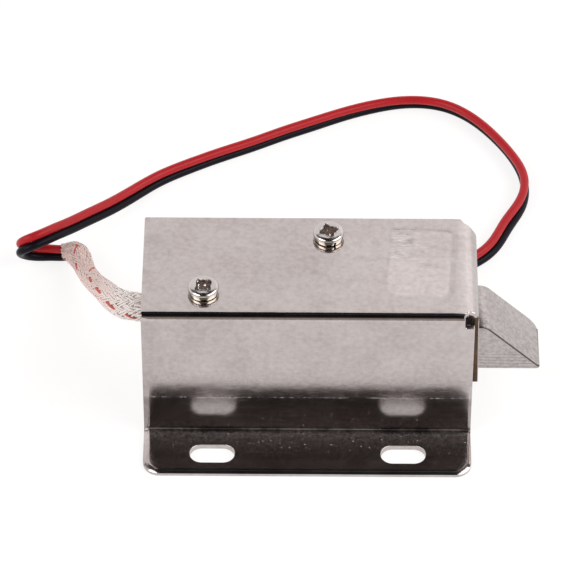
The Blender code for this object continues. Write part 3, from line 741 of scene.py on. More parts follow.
def build_sleeve():
    c = np.array([0.0056 * math.cos(CAM_ELEV), -math.cos(CAM_ELEV), math.sin(CAM_ELEV)])
    fine = natural_spline(SLEEVE_ROUTE, np.linspace(0, 1, 801))
    run = run_of(fine[:, :3])
    total = run[-1]
    rng = np.random.default_rng(11)
    tall = np.array([0.0, 0.15, 1.0])
    tall /= np.linalg.norm(tall)

    def at(s):
        q = np.array([np.interp(s, run, fine[:, k]) for k in range(4)]).T
        rise = 0.22 * np.exp(-((s - (total - 4.6)) / 2.6) ** 2)
        q[:, 2] += rise
        q[:, 1] += rise
        return q

    def reach(out, t, radius, s):
        """Radius towards out: round, and pressed oval by the leads at the end."""
        up = tall[None, :] - (t @ tall)[:, None] * t
        up /= np.linalg.norm(up, axis=1)[:, None]
        cu = (out * up).sum(1)
        oval = 1.0 / np.sqrt((cu / 1.68) ** 2 + (1 - cu ** 2) / 0.93 ** 2)
        f = np.clip((s - (total - 2.1)) / 1.9, 0, 1)
        f = f * f * (3 - 2 * f)
        swell = 0.27 * np.exp(-((s - (total - 3.8)) / 3.0) ** 2)
        return (radius + swell) * (1 - f) + oval * f

    verts, faces, kinds = [], [], []
    steps = 205
    for direction in (1, -1):
        for k in range(CARRIERS):
            shake = rng.normal(0, 0.03)
            for twin in (-1, 1):
                end = total - rng.uniform(0.0, 0.30)
                st = np.linspace(0, end, steps)
                base = at(st)
                t, n, b = frames_along(base[:, :3], c)
                loose = np.clip((14.5 - st) / 8.0, 0, 1)
                loose = loose * loose * (3 - 2 * loose)
                mark = st + 0.8 + 0.75 * np.clip((st - 7.5) / 3.5, 0, 1)
                turn = np.radians(smoothed(TWIST, mark, 0.9))
                cross = smoothed(CROSSINGS, mark, 0.5)
                if direction > 0:
                    ang = 2 * math.pi * k / CARRIERS + turn
                    wave = np.cos(2 * math.pi * (cross + 2 * k - 0.5) / 4)
                else:
                    ang = 2 * math.pi * k / CARRIERS + turn - 2 * math.pi * cross / CARRIERS
                    wave = -np.cos(2 * math.pi * (2 * k - cross - 0.5) / 4)
                ang = ang + shake + twin * (2 * math.pi / CARRIERS) * (0.25 - 0.02 * loose)
                seed = k * 3.1 + direction * 7 + twin * 0.35
                wob = np.array([noise.noise(Vector((seed, s * 0.42, 0.3))) for s in st])
                ang = ang + wob * (0.03 + 0.13 * loose)
                wave = np.tanh(1.5 * wave) / math.tanh(1.5)
                lift = wave * (0.085 + 0.065 * loose)
                out = n * np.cos(ang)[:, None] + b * np.sin(ang)[:, None]
                rad = reach(out, t, base[:, 3], st) - 0.165 - 0.03 * loose + lift
                rad = rad + np.array([noise.noise(Vector((math.cos(q) * 1.3 + 4, math.sin(q) * 1.3, s * 0.55)))
                                      for q, s in zip(ang, st)]) * (0.025 + 0.16 * loose)
                rad = rad + np.array([noise.noise(Vector((seed * 2.3, s * 1.1, 6.0))) for s in st]) \
                    * (0.02 + 0.06 * loose)
                rad = rad + 0.10 * np.clip((st - (total - 0.6)) / 0.6, 0, 1) * rng.uniform(0, 1)
                pts = base[:, :3] + out * rad[:, None]
                tt = np.gradient(pts, axis=0)
                tt /= np.linalg.norm(tt, axis=1)[:, None]
                side = np.cross(tt, out)
                side /= np.linalg.norm(side, axis=1)[:, None]
                lean = np.abs((tt * t).sum(1))
                half = 0.5 * 2 * math.pi * base[:, 3] / (2 * CARRIERS) * lean
                half = half * (1.02 - 0.20 * loose) * (1 + rng.uniform(-0.06, 0.06))
                before = len(faces)
                tracer = direction > 0 and k in (0, CARRIERS // 2) and twin > 0
                if tracer:
                    half = half * 1.6
                tube_mesh(verts, faces, pts, out, side, 0.095 + 0.02 * loose, half, 6,
                          phase=math.pi / 6)
                kinds += [1 if tracer else 0] * (len(faces) - before)
    me = mesh_from("glass_sleeve", verts, faces)
    me.materials.append(GLASS)
    me.materials.append(TRACER)
    me.polygons.foreach_set("material_index", np.array(kinds[:len(me.polygons)], np.int32))
    ob = piece("glass_sleeve", me, None, "lock_body")
    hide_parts("braided_sleeve")
    # inner lining, an open tube with a wall, coloured as painted shade for the gaps between the yarns
    verts, faces = [], []
    rings = []
    lin = np.linspace(0, total - 0.35, 90)
    q = at(lin)
    t, n, b = frames_along(q[:, :3], c)
    sides = 28
    for rr in (0.30, 0.44):
        rings.append([])
        for i in range(len(lin)):
            ring = []
            for k in range(sides):
                a = 2 * math.pi * k / sides
                d = n[i] * math.cos(a) + b[i] * math.sin(a)
                r = reach(d[None, :], t[i:i + 1], q[i:i + 1, 3], lin[i:i + 1])[0] - rr
                if rr > 0.4:
                    r = max(r, 0.3)
                verts.append(tuple(q[i, :3] + d * r))
                ring.append(len(verts) - 1)
            rings[-1].append(ring)
    for w in (0, 1):
        for i in range(len(lin) - 1):
            for k in range(sides):
                j = (k + 1) % sides
                f = (rings[w][i][k], rings[w][i][j], rings[w][i + 1][j], rings[w][i + 1][k])
                faces.append(f if w == 0 else f[::-1])
    for i in (0, len(lin) - 1):
        for k in range(sides):
            j = (k + 1) % sides
            f = (rings[0][i][k], rings[1][i][k], rings[1][i][j], rings[0][i][j])
            faces.append(f if i == 0 else f[::-1])
    liner = piece("sleeve_shade_lining", mesh_from("sleeve_shade_lining", verts, faces), GAP_SHADE_LINER, "lock_body")
    path = [[float(x) * MM for x in p[:3]] for p in at(np.linspace(0, total, 38))]
    return total


# ------------------------------------------------------- sheet metal case
SHEET = 1.0
CASE_LEFT, WALL_RIGHT, FLAP_OUT = -27.1, 26.93, 27.6
FLANGE_FRONT, WALL_OUT, TOP_BACK, TOP = -4.25, 5.4, 28.6, 27.5
FOLD_R, EDGE_R, FLAP_R = 0.34, 1.15, 1.7
FLAP_FRONT, FLAP_BOTTOM = 6.7, 10.9
PAD = (13.05, 10.5, 23.35, 25.9)
PAD_DEPTH, PAD_CORNER, PAD_TURN = 0.036, 1.3, math.radians(4.0)


def pad_sdf(x, y):
    """Distance from the pressed pad's outline, which sits slightly askew."""
    cx, cy = (PAD[0] + PAD[2]) / 2, (PAD[1] + PAD[3]) / 2
    c, t = math.cos(PAD_TURN), math.sin(PAD_TURN)
    return rounded_sdf(cx + (x - cx) * c - (y - cy) * t, cy + (x - cx) * t + (y - cy) * c,
                       PAD, PAD_CORNER)
SCREWS = {"front": (-17.07, 10.94, 41.0), "rear": (3.24, 23.99, 18.0)}
STAINS = [(-25.0, 23.4, 0.9, 1.2, 0.16), (-21.5, 15.0, 0.5, 0.4, 0.10), (8.4, 12.3, 0.6, 0.35, 0.07),
          (-6.0, 25.6, 0.8, 0.4, 0.06), (11.2, 20.6, 0.35, 0.5, 0.08)]

U0 = FLAP_OUT - FLAP_R
U1 = U0 + FLAP_R * math.pi / 2
V0 = WALL_OUT + EDGE_R
V1 = V0 - EDGE_R * math.pi / 2
V2 = V1 - (TOP - EDGE_R - SHEET - FOLD_R)
V3 = V2 - (FOLD_R + 0.5) * math.pi / 2
V4 = V3 - (WALL_OUT - FOLD_R - FLANGE_FRONT)


def wall_v(z):
    return V1 - (TOP - EDGE_R - z)


def flange_v(y):
    return V3 - (WALL_OUT - FOLD_R - y)


def flap_u(z):
    return U1 + (TOP - FLAP_R - z)


def fold(u, v, w):
    """Place of a point of the flat blank once bent; w is the depth below the
    outer face."""
    # the wall leans: its foot lies a little behind the front bend
    if v > V1:
        ahead = 0.286 * (1.0 - min(max((v - V0) / 8.0, 0.0), 1.0))
    elif v > V2:
        z = TOP - EDGE_R - (V1 - v)
        q = (z - 8.6) / 1.0
        knee = q if q > 4 else math.log1p(math.exp(q))
        ahead = -0.19 + 0.009 * (z - 1.5) + 0.0142 * knee + 0.00
    else:
        ahead = -0.19 * (1.0 - min(max((V3 - v) / 6.0, 0.0), 1.0))
    if u > U0 and v > V0:
        ahead = 0.0
    if u > U0 and v > V0:
        if u < U1:
            a = (u - U0) / (U1 - U0) * math.pi / 2
            r = FLAP_R - w
            return (U0 + r * math.sin(a), v, TOP - FLAP_R + r * math.cos(a))
        return (FLAP_OUT - w + 0.019 * (u - U1), v, TOP - FLAP_R - (u - U1))
    if v >= V0:
        return (u, v - ahead, TOP - w)
    if v > V1:
        a = (V0 - v) / (V0 - V1) * math.pi / 2
        r = EDGE_R - w
        return (u, V0 - r * math.sin(a) - ahead, TOP - EDGE_R + r * math.cos(a))
    if v > V2:
        return (u, WALL_OUT + w - ahead, TOP - EDGE_R - (V1 - v))
    if v > V3:
        a = (V2 - v) / (V2 - V3) * math.pi / 2
        r = FOLD_R + w
        return (u, WALL_OUT - FOLD_R + r * math.cos(a) - ahead, SHEET + FOLD_R - r * math.sin(a))
    return (u, WALL_OUT - FOLD_R - (V3 - v) - ahead, SHEET - w)


def fillet(pts, radii, n=4):
    """Round the corners of a polygon by the given radii."""
    out = []
    m = len(pts)
    for i in range(m):
        r = radii[i]
        b = Vector(pts[i])
        if r <= 0:
            out.append(tuple(b))
            continue
        a, c = Vector(pts[i - 1]), Vector(pts[(i + 1) % m])
        d1, d2 = (a - b).normalized(), (c - b).normalized()
        ang = d1.angle(d2)
        t = r / math.tan(ang / 2)
        p, q = b + d1 * t, b + d2 * t
        mid = b + (d1 + d2).normalized() * (r / math.sin(ang / 2))
        a0 = math.atan2(p.y - mid.y, p.x - mid.x)
        a1 = math.atan2(q.y - mid.y, q.x - mid.x)
        da = (a1 - a0 + math.pi) % (2 * math.pi) - math.pi
        k = max(2, int(n * abs(da) / (math.pi / 2) + 0.5))
        for s in range(k + 1):
            x = a0 + da * s / k
            out.append((mid.x + r * math.cos(x), mid.y + r * math.sin(x)))
    return out


def dense(loop):
    """Resample a closed loop: fine inside the bends, coarser elsewhere."""
    out = []
    m = len(loop)
    for i in range(m):
        a, b = np.array(loop[i]), np.array(loop[(i + 1) % m])
        length = np.linalg.norm(b - a)
        x, y = (a + b) / 2
        step = 0.34
        if V1 - 0.2 < y < V0 + 0.2 or V3 - 0.2 < y < V2 + 0.2 or (U0 - 0.2 < x < U1 + 0.2 and y > V0):
            step = 0.12
        lo, hi = min(a[1], b[1]), max(a[1], b[1])
        if length > 1.0 and hi - lo > 1.0:
            # a long edge that runs through bends: split it at their limits
            marks = [0.0, 1.0]
            for v in (V0, V1, V2, V3):
                if lo < v < hi:
                    marks.append((v - a[1]) / (b[1] - a[1]))
            marks = sorted(marks)
            for s0, s1 in zip(marks, marks[1:]):
                ym = a[1] + (b[1] - a[1]) * (s0 + s1) / 2
                st = 0.12 if (V1 < ym < V0 or V3 < ym < V2) else 0.34
                k = max(1, int(length * (s1 - s0) / st + 0.5))
                for q in range(k):
                    out.append(tuple(a + (b - a) * (s0 + (s1 - s0) * q / k)))
            continue
        if length > 1.0 and abs(b[0] - a[0]) > 1.0 and y > V0 and max(a[0], b[0]) > U0 and min(a[0], b[0]) < U1:
            marks = [0.0, 1.0]
            for u in (U0, U1):
                if min(a[0], b[0]) < u < max(a[0], b[0]):
                    marks.append((u - a[0]) / (b[0] - a[0]))
            marks = sorted(marks)
            for s0, s1 in zip(marks, marks[1:]):
                xm = a[0] + (b[0] - a[0]) * (s0 + s1) / 2
                st = 0.12 if U0 < xm < U1 else 0.34
                k = max(1, int(length * (s1 - s0) / st + 0.5))
                for q in range(k):
                    out.append(tuple(a + (b - a) * (s0 + (s1 - s0) * q / k)))
            continue
        k = max(1, int(length / step + 0.5))
        for q in range(k):
            out.append(tuple(a + (b - a) * q / k))
    return out


def inside(loop, pts):
    """Which of pts (n, 2) are inside a closed loop."""
    x, y = pts[:, 0], pts[:, 1]
    res = np.zeros(len(pts), bool)
    a = np.array(loop)
    b = np.roll(a, -1, axis=0)
    for (x0, y0), (x1, y1) in zip(a, b):
        if y0 == y1:
            continue
        c = (y0 > y) != (y1 > y)
        res ^= c & (x < (x1 - x0) * (y - y0) / (y1 - y0) + x0)
    return res


def loop_distance(loops, pts):
    """Distance of pts to the nearest edge of any loop."""
    best = np.full(len(pts), 1e9)
    for loop in loops:
        a = np.array(loop)
        b = np.roll(a, -1, axis=0)
        d = b - a
        ll = (d * d).sum(1)
        for i in range(len(a)):
            w = pts - a[i]
            s = np.clip((w @ d[i]) / ll[i], 0, 1)
            dist = np.hypot(w[:, 0] - s * d[i, 0], w[:, 1] - s * d[i, 1])
            np.minimum(best, dist, out=best)
    return best


def line_distance(line, pts):
    """Distance of pts to an open broken line."""
    best = np.full(len(pts), 1e9)
    a = np.array(line)
    for p, q in zip(a, a[1:]):
        d = q - p
        w = pts - p
        s = np.clip((w @ d) / (d @ d), 0, 1)
        np.minimum(best, np.hypot(w[:, 0] - s * d[0], w[:, 1] - s * d[1]), out=best)
    return best


def case_outline():
    right = [(WALL_RIGHT, wall_v(25.0)), (25.35, wall_v(25.0)), (25.35, FLAP_FRONT),
             (flap_u(FLAP_BOTTOM), FLAP_FRONT), (flap_u(FLAP_BOTTOM), 11.8),
             (flap_u(18.9), 11.8), (flap_u(18.9), 22.4), (flap_u(FLAP_BOTTOM), 22.4),
             (flap_u(FLAP_BOTTOM), 25.95), (U1, 25.95), (27.34, 26.4), (26.42, 27.2),
             (25.65, 27.65), (25.1, TOP_BACK), (CASE_LEFT, TOP_BACK)]
    rr = [0.25, 0.35, 0.3, 0.8, 0.3, 0.4, 0.4, 0.3, 0.8, 1.2, 0.6, 0.5, 0.4, 0.35, 0.3]
    pts = [(CASE_LEFT, V4), (WALL_RIGHT, V4)] + right
    return fillet(pts, [2.8, 2.8] + rr, 12)


def slot_loop(cx, cy, half_long, half_wide):
    return (arc(cx + half_long - half_wide, cy, half_wide, -90, 90, 26)
            + arc(cx - half_long + half_wide, cy, half_wide, 90, 270, 26))


def rounded_sdf(x, y, box, r):
    cx, cy = (box[0] + box[2]) / 2, (box[1] + box[3]) / 2
    hx, hy = (box[2] - box[0]) / 2 - r, (box[3] - box[1]) / 2 - r
    qx, qy = np.abs(x - cx) - hx, np.abs(y - cy) - hy
    return np.hypot(np.maximum(qx, 0), np.maximum(qy, 0)) + np.minimum(np.maximum(qx, qy), 0) - r


def build_case():
    outer = dense(case_outline())
    holes = [dense(slot_loop(s * 15.72, flange_v(0.0), 3.68, 1.96)) for s in (-1, 1)]
    for x, y, _ in SCREWS.values():
        holes.append(dense(arc(x, y, 1.55, 0, 360, 40)[:-1]))
    loops = [outer] + holes
    ring_d = [0.02, 0.05, 0.09, 0.14, 0.22, 0.32, 0.44, 0.58, 0.74, 0.92, 1.12]
    pts2 = []
    loop_index = []
    for loop in loops:
        start = len(pts2)
        pts2 += loop
        loop_index.append(list(range(start, len(pts2))))
    boundary_count = len(pts2)
    extra = []
    for li, loop in enumerate(loops):
        a = np.array(loop)
        tan = np.roll(a, -1, axis=0) - np.roll(a, 1, axis=0)
        tan /= np.linalg.norm(tan, axis=1)[:, None]
        nrm = np.stack([-tan[:, 1], tan[:, 0]], 1)
        area = 0.5 * np.sum(a[:, 0] * np.roll(a[:, 1], -1) - np.roll(a[:, 0], -1) * a[:, 1])
        inward = nrm if area > 0 else -nrm
        if li > 0:
            inward = -inward
        for d in ring_d:
            q = a + inward * d
            if d > 0.2:
                q = q[::1]
            if d > 0.3:
                # only the wide rolled edges of the flange and wall need these
                q = q[(q[:, 1] < V1) & (li == 0)]
                if len(q) == 0:
                    continue
            dist = loop_distance(loops, q)
            extra.append(q[dist > d * 0.93])
    # grid rows, aligned so that bends and marks stay straight
    us = list(np.arange(CASE_LEFT + 0.45, U0 - 0.2, 0.62)) + list(np.linspace(U0, U1, 13))
    us += list(np.arange(U1 + 0.62, flap_u(FLAP_BOTTOM), 0.62))
    vs = list(np.arange(V4 + 0.45, V3 - 0.3, 0.55)) + list(np.linspace(V3, V2, 11))
    mark = wall_v(8.6)
    vs += [v for v in np.arange(V2 + 0.5, V1 - 0.3, 0.62) if abs(v - mark) > 0.5]
    vs += [mark + d for d in (-0.30, -0.16, -0.08, 0.0, 0.08, 0.16, 0.30)]
    vs += list(np.linspace(V1, V0, 13)) + list(np.arange(V0 + 0.5, TOP_BACK - 0.3, 0.55))
    gu, gv = np.meshgrid(np.array(us), np.array(vs))
    grid = np.stack([gu.ravel(), gv.ravel()], 1)
    # finer over the pressed pad's rim and along the tool mark
    pu, pv = np.meshgrid(np.arange(PAD[0] - 2.0, PAD[2] + 2.0, 0.19),
                         np.arange(PAD[1] - 2.0, PAD[3] + 2.0, 0.19))
    pad = np.stack([pu.ravel(), pv.ravel()], 1)
    near = np.abs(pad_sdf(pad[:, 0], pad[:, 1])) < 0.95
    pad = pad[near]
    keep = np.abs(pad_sdf(grid[:, 0], grid[:, 1])) > 1.1
    grid = grid[keep]
    mu, mv = np.meshgrid(np.arange(CASE_LEFT + 0.45, WALL_RIGHT - 0.4, 0.155),
                         np.array([mark + d for d in (-0.16, -0.08, 0.0, 0.08, 0.16)]))
    tool = np.stack([mu.ravel(), mv.ravel()], 1)
    grid = np.concatenate([grid, pad, tool])
    ok = inside(outer, grid)
    for h in holes:
        ok &= ~inside(h, grid)
    grid = grid[ok]
    room = loop_distance(loops, grid)
    wide = loop_distance([outer], grid)
    grid = grid[(room > 0.46) & ((wide > 1.25) | (grid[:, 1] >= V1))]
    allp = np.concatenate([np.array(pts2)] + extra + [grid])
    # drop near duplicates among the free points
    keyed = {}
    keep = list(range(boundary_count))
    for i in range(boundary_count, len(allp)):
        key = (round(allp[i, 0] / 0.02), round(allp[i, 1] / 0.02))
        if key in keyed:
            continue
        keyed[key] = 1
        keep.append(i)
    allp = allp[keep]
    edges = []
    for idx in loop_index:
        edges += [(idx[i], idx[(i + 1) % len(idx)]) for i in range(len(idx))]
    res = delaunay_2d_cdt([Vector(p) for p in allp], edges, [], 0, 1e-6, True)
    v2 = np.array([tuple(p) for p in res[0]])
    tris = np.array([f for f in res[2] if len(f) == 3])
    cen = v2[tris].mean(axis=1)
    ok = inside(outer, cen)
    for h in holes:
        ok &= ~inside(h, cen)
    tris = tris[ok]
    # map each input boundary point to its output vertex
    back = {}
    for out_i, ins in enumerate(res[3]):
        for i in ins:
            back[i] = out_i
    n = len(v2)
    dist = loop_distance(loops, v2)
    rho = 0.16
    lip = np.where(dist < rho, rho - np.sqrt(np.maximum(rho ** 2 - (rho - dist) ** 2, 0)), 0.0)
    lip = lip * 0.70
    # die roll: wide along the flange's front and the case's left end, with a
    # small crest where the punch scraped it
    edge = np.array(outer)
    low = edge[edge[:, 1] < V1 + 0.1]
    front = low[low[:, 1] < V4 + 1.4]
    front = front[np.argsort(front[:, 0])]
    d = line_distance(front, v2)
    t = np.clip(1 - d / 0.86, 0, 1)
    roll = 0.36 * t ** 2
    crest = -0.022 * np.exp(-((d - 0.40) / 0.07) ** 2)
    fade = np.clip((WALL_RIGHT - 1.0 - v2[:, 0]) / 1.5, 0, 1) * np.clip((v2[:, 0] - CASE_LEFT) / 2.0, 0, 1)
    lip = np.maximum(lip, roll) + crest * fade
    left = low[low[:, 0] < CASE_LEFT + 1.4]
    left = left[np.argsort(left[:, 1])]
    d = line_distance(left, v2)
    t = np.clip(1 - d / 0.98, 0, 1)
    lip = np.maximum(lip, 0.30 * t ** 2)
    right = low[low[:, 0] > WALL_RIGHT - 0.6]
    right = right[np.argsort(right[:, 1])]
    d = line_distance(right, v2)
    t = np.clip(1 - d / 0.45, 0, 1)
    lip = np.maximum(lip, 0.15 * t ** 2)
    # pressed pad with a soft rim
    sd = pad_sdf(v2[:, 0], v2[:, 1])
    s = np.clip((0.50 - sd) / 1.0, 0, 1)
    on_top = (v2[:, 1] > V0) & (v2[:, 0] < U0)
    in_pad = np.where(on_top, s * s * (3 - 2 * s), 0.0)
    padw = PAD_DEPTH * in_pad
    # the top falls away gently before it bends down at the tongue's end
    u = v2[:, 0]
    q = np.clip((u - 23.4) / (U0 - 23.4), 0, 1)
    sag = 0.15 * q ** 2
    k = np.clip((u - U0) / (U1 - U0), 0, 1)
    m0 = 2 * 0.15 / (U0 - 23.4) * (U1 - U0)
    sag = np.where(u > U0, (2 * k ** 3 - 3 * k ** 2 + 1) * 0.15 + (k ** 3 - 2 * k ** 2 + k) * m0, sag)
    sag = np.where(v2[:, 1] > V1, sag * np.clip((v2[:, 1] - V1) / (V0 - V1), 0, 1), 0.0)
    # slow bowing of the rolled sheet
    wave = np.array([noise.noise(Vector((p[0] * 0.07, p[1] * 0.11, 1.7))) * 0.022
                     + noise.noise(Vector((p[0] * 0.21, p[1] * 0.26, 5.1))) * 0.006 for p in v2])
    wave = wave + sag
    # the line a bending tool leaves across the front wall, in dashes
    off = (v2[:, 1] - mark)
    dash = np.array([max(0.0, 0.7 * noise.noise(Vector((p[0] * 2.3, 3.3, 0.0)))
                         + 0.6 * noise.noise(Vector((p[0] * 0.5, 9.3, 0.0))) + 0.26) for p in v2])
    toolw = -0.0085 * np.minimum(dash * 2.4, 1.0) * np.exp(-(off / 0.085) ** 2)
    outer_w = lip + padw + wave + toolw
    inner_w = SHEET - 0.35 * lip + padw + wave
    verts = [fold(p[0], p[1], w) for p, w in zip(v2, outer_w)]
    verts += [fold(p[0], p[1], w) for p, w in zip(v2, inner_w)]
    faces, kinds = [], []
    # orientation: the flat triangles are counter-clockwise in (u, v), which is
    # outward on the top face
    for f in tris:
        a, b, c = v2[f[0]], v2[f[1]], v2[f[2]]
        ccw = (b[0] - a[0]) * (c[1] - a[1]) - (b[1] - a[1]) * (c[0] - a[0]) > 0
        f = tuple(int(i) for i in (f if ccw else f[::-1]))
        faces.append(f)
        kinds.append(0)
        # the inner face takes the painted shade material
        faces.append(tuple(i + n for i in f[::-1]))
        kinds.append(2)
    # sheared sides, in three bands of faces split at 0.28 and 0.62 of the depth; a strip at the flap's front takes
    # the brown sheared look
    for li, idx in enumerate(loop_index):
        m = len(idx)
        rows = [[back[i] for i in idx]]
        for frac, push in ((0.28, 0.0), (0.62, 0.015)):
            row = []
            for k, i in enumerate(idx):
                o = back[i]
                w = outer_w[o] + (inner_w[o] - outer_w[o]) * frac
                row.append(len(verts))
                verts.append(fold(v2[o, 0], v2[o, 1], w))
            rows.append(row)
        rows.append([back[i] + n for i in idx])
        a = np.array([v2[back[i]] for i in idx])
        area = 0.5 * np.sum(a[:, 0] * np.roll(a[:, 1], -1) - np.roll(a[:, 0], -1) * a[:, 1])
        for r0, r1 in zip(rows, rows[1:]):
            for k in range(m):
                j = (k + 1) % m
                f = (r0[k], r1[k], r1[j], r0[j])
                if (area > 0) != (li == 0):
                    f = f[::-1]
                mid = a[k]
                brown = (li == 0 and mid[1] < FLAP_FRONT + 0.9 and mid[0] > U1 - 0.45
                         and mid[1] > V0 - 0.5)
                faces.append(f)
                kinds.append(1 if brown else 0)
    me = mesh_from("case_shell", verts, faces)
    me.materials.append(PLATE)
    me.materials.append(SHEARED)
    me.materials.append(INSIDE_SHADE)
    # tone lifts or lowers the plating: real stains and blots, and painted light and shade in the bands below;
    # scuff marks the pad's rubbed face, dust lies on the flange and along the fold
    x, y = v2[:, 0], v2[:, 1]
    # the pad's rubbed face is lifted, with a painted sheen that grows towards its front
    lower = np.clip((19.5 - y) / 5.0, 0, 1)
    tone = in_pad * (0.06 + 0.11 * lower)
    # painted shade and highlight along the pad's rim: a dark line, strongest on the side toward the tongue, and a
    # lighter band just inside
    toward = np.clip((x - PAD[2] + 1.6) / 1.0, 0, 1)
    away_side = np.clip((PAD[0] + 1.6 - x) / 1.0, 0, 1)
    broken = np.array([noise.noise(Vector((p[0] * 0.8, p[1] * 0.45, 21.0))) for p in v2])
    painted_rim_shade = np.exp(-((sd - 0.05) / 0.26) ** 2) * (0.035 + 0.125 * toward + 0.075 * away_side)
    painted_rim_shade = painted_rim_shade + 0.09 * toward * np.exp(-((sd - 0.62) / 0.22) ** 2)
    painted_rim_shade = painted_rim_shade - 0.05 * np.exp(-((sd + 0.55) / 0.25) ** 2) * (0.4 + 0.6 * toward)
    tone = tone - np.where(on_top, painted_rim_shade * np.clip(0.85 + 0.9 * broken, 0.2, 1.3), 0.0)
    # painted light: the top brightens towards +x, and again just before it falls away into the end bend
    tone = tone + np.where(on_top, 0.065 * np.clip((x - 2.0) / 5.0, 0, 1), 0.0)
    tone = tone + np.where(on_top, 0.04 * np.clip((x - 23.9) / 1.6, 0, 1), 0.0)
    on_wall = (y > V2) & (y < V1)
    # painted shade on the front wall: darker at its left end and towards the bottom
    tone = tone - np.where(on_wall, 0.09 * np.clip((-23.5 - x) / 2.0, 0, 1), 0.0)
    tone = tone - np.where(on_wall, 0.06 * np.clip((wall_v(15.5) - y) / 4.0, 0, 1), 0.0)
    # painted shade: the flange darkens away from the fold
    tone = tone - np.where(y < V3, 0.16 * np.clip((V3 - y - 1.5) / 4.0, 0, 1), 0.0)
    # painted shade in the fold, broken up along its length
    patchy = np.array([noise.noise(Vector((p[0] * 0.30, 4.4, 0.0)))
                       + 0.6 * noise.noise(Vector((p[0] * 1.3, 7.7, 0.0))) for p in v2])
    tone = tone - np.where((y > V3) & (y < V2), 0.44 + 0.40 * np.clip(0.45 + 1.6 * patchy, 0, 1), 0.0)
    # painted shade: the wall darkens below the tool mark, most just under it, and a little all over
    tone = tone - np.where(on_wall, 0.25 * np.clip((wall_v(8.6) - y) / 1.0, 0, 1), 0.0)
    tone = tone - np.where(on_wall & (y < wall_v(8.6)), 0.16 * np.clip((y - wall_v(6.4)) / 1.8, 0, 1), 0.0)
    tone = tone - np.where(on_wall, 0.02, 0.0)
    # painted shade: a dark band where the end bend meets the flap
    tone = tone - np.where(y > V0, 0.62 * np.clip((x - U1 + 0.75) / 0.3, 0, 1)
                           * np.clip((U1 + 0.7 - x) / 0.5, 0, 1), 0.0)
    # painted shade: a dark band along the front bend's crest
    turn = (y - V1) / (V0 - V1)
    tone = tone - np.where((turn > 0) & (turn < 1), 0.50 * np.clip((turn - 0.38) / 0.12, 0, 1)
                           * np.clip((1.0 - turn) / 0.12, 0, 1), 0.0)
    haze = np.where(on_wall, np.clip((y - wall_v(2.5)) / 4.0, 0, 1) * np.clip((wall_v(17.0) - y) / 4.0, 0, 1), 0.0)
    blot = np.array([noise.noise(Vector((p[0] * 0.55, p[1] * 0.55, 12.0))) for p in v2])
    tone = tone - np.where(on_top, 0.10 * np.clip((blot - 0.34) / 0.2, 0, 1), 0.0)
    for sx, sy, rx, ry, deep in STAINS:
        tone = tone - deep * np.exp(-((x - sx) / rx) ** 2 - ((y - sy) / ry) ** 2) * on_top
    rubbed = np.clip((18.6 - x) / 1.6, 0, 1) * np.clip((y - 18.0) / 2.0, 0, 1)
    rubbed = np.maximum(rubbed, 0.8 * np.exp(-((x - 18.3) / 1.1) ** 2 - ((y - 20.5) / 4.2) ** 2))
    scuff = in_pad * (0.22 + 0.95 * rubbed)
    away = np.maximum(V3 - y, 0.0)
    dust = np.where(y < V3, np.exp(-away / 2.8), np.where(y < V2 + 1.6, 1 - np.clip((y - V3) / 1.9, 0, 1), 0.0))
    # painted glints along the tool mark, in dashes
    painted_tool_glint = np.where(on_wall, np.clip(dash * 1.7 - 0.25, 0, 1) * np.exp(-(off / 0.085) ** 2), 0.0)
    for name, value in (("tone", tone), ("scuff", scuff), ("dust", dust), ("haze", haze),
                        ("painted_tool_glint", painted_tool_glint)):
        full = np.zeros(len(me.vertices), np.float32)
        full[:n] = value
        me.attributes.new(name, "FLOAT", "POINT").data.foreach_set("value", full)
    if len(me.polygons) == len(kinds):
        me.polygons.foreach_set("material_index", np.array(kinds, np.int32))
    else:
        print("case faces", len(me.polygons), len(kinds))
    me.shade_smooth()
    me.set_sharp_from_angle(angle=math.radians(48))
    ob = piece("case_shell", me, None, "lock_body")
    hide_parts("case")
    return ob


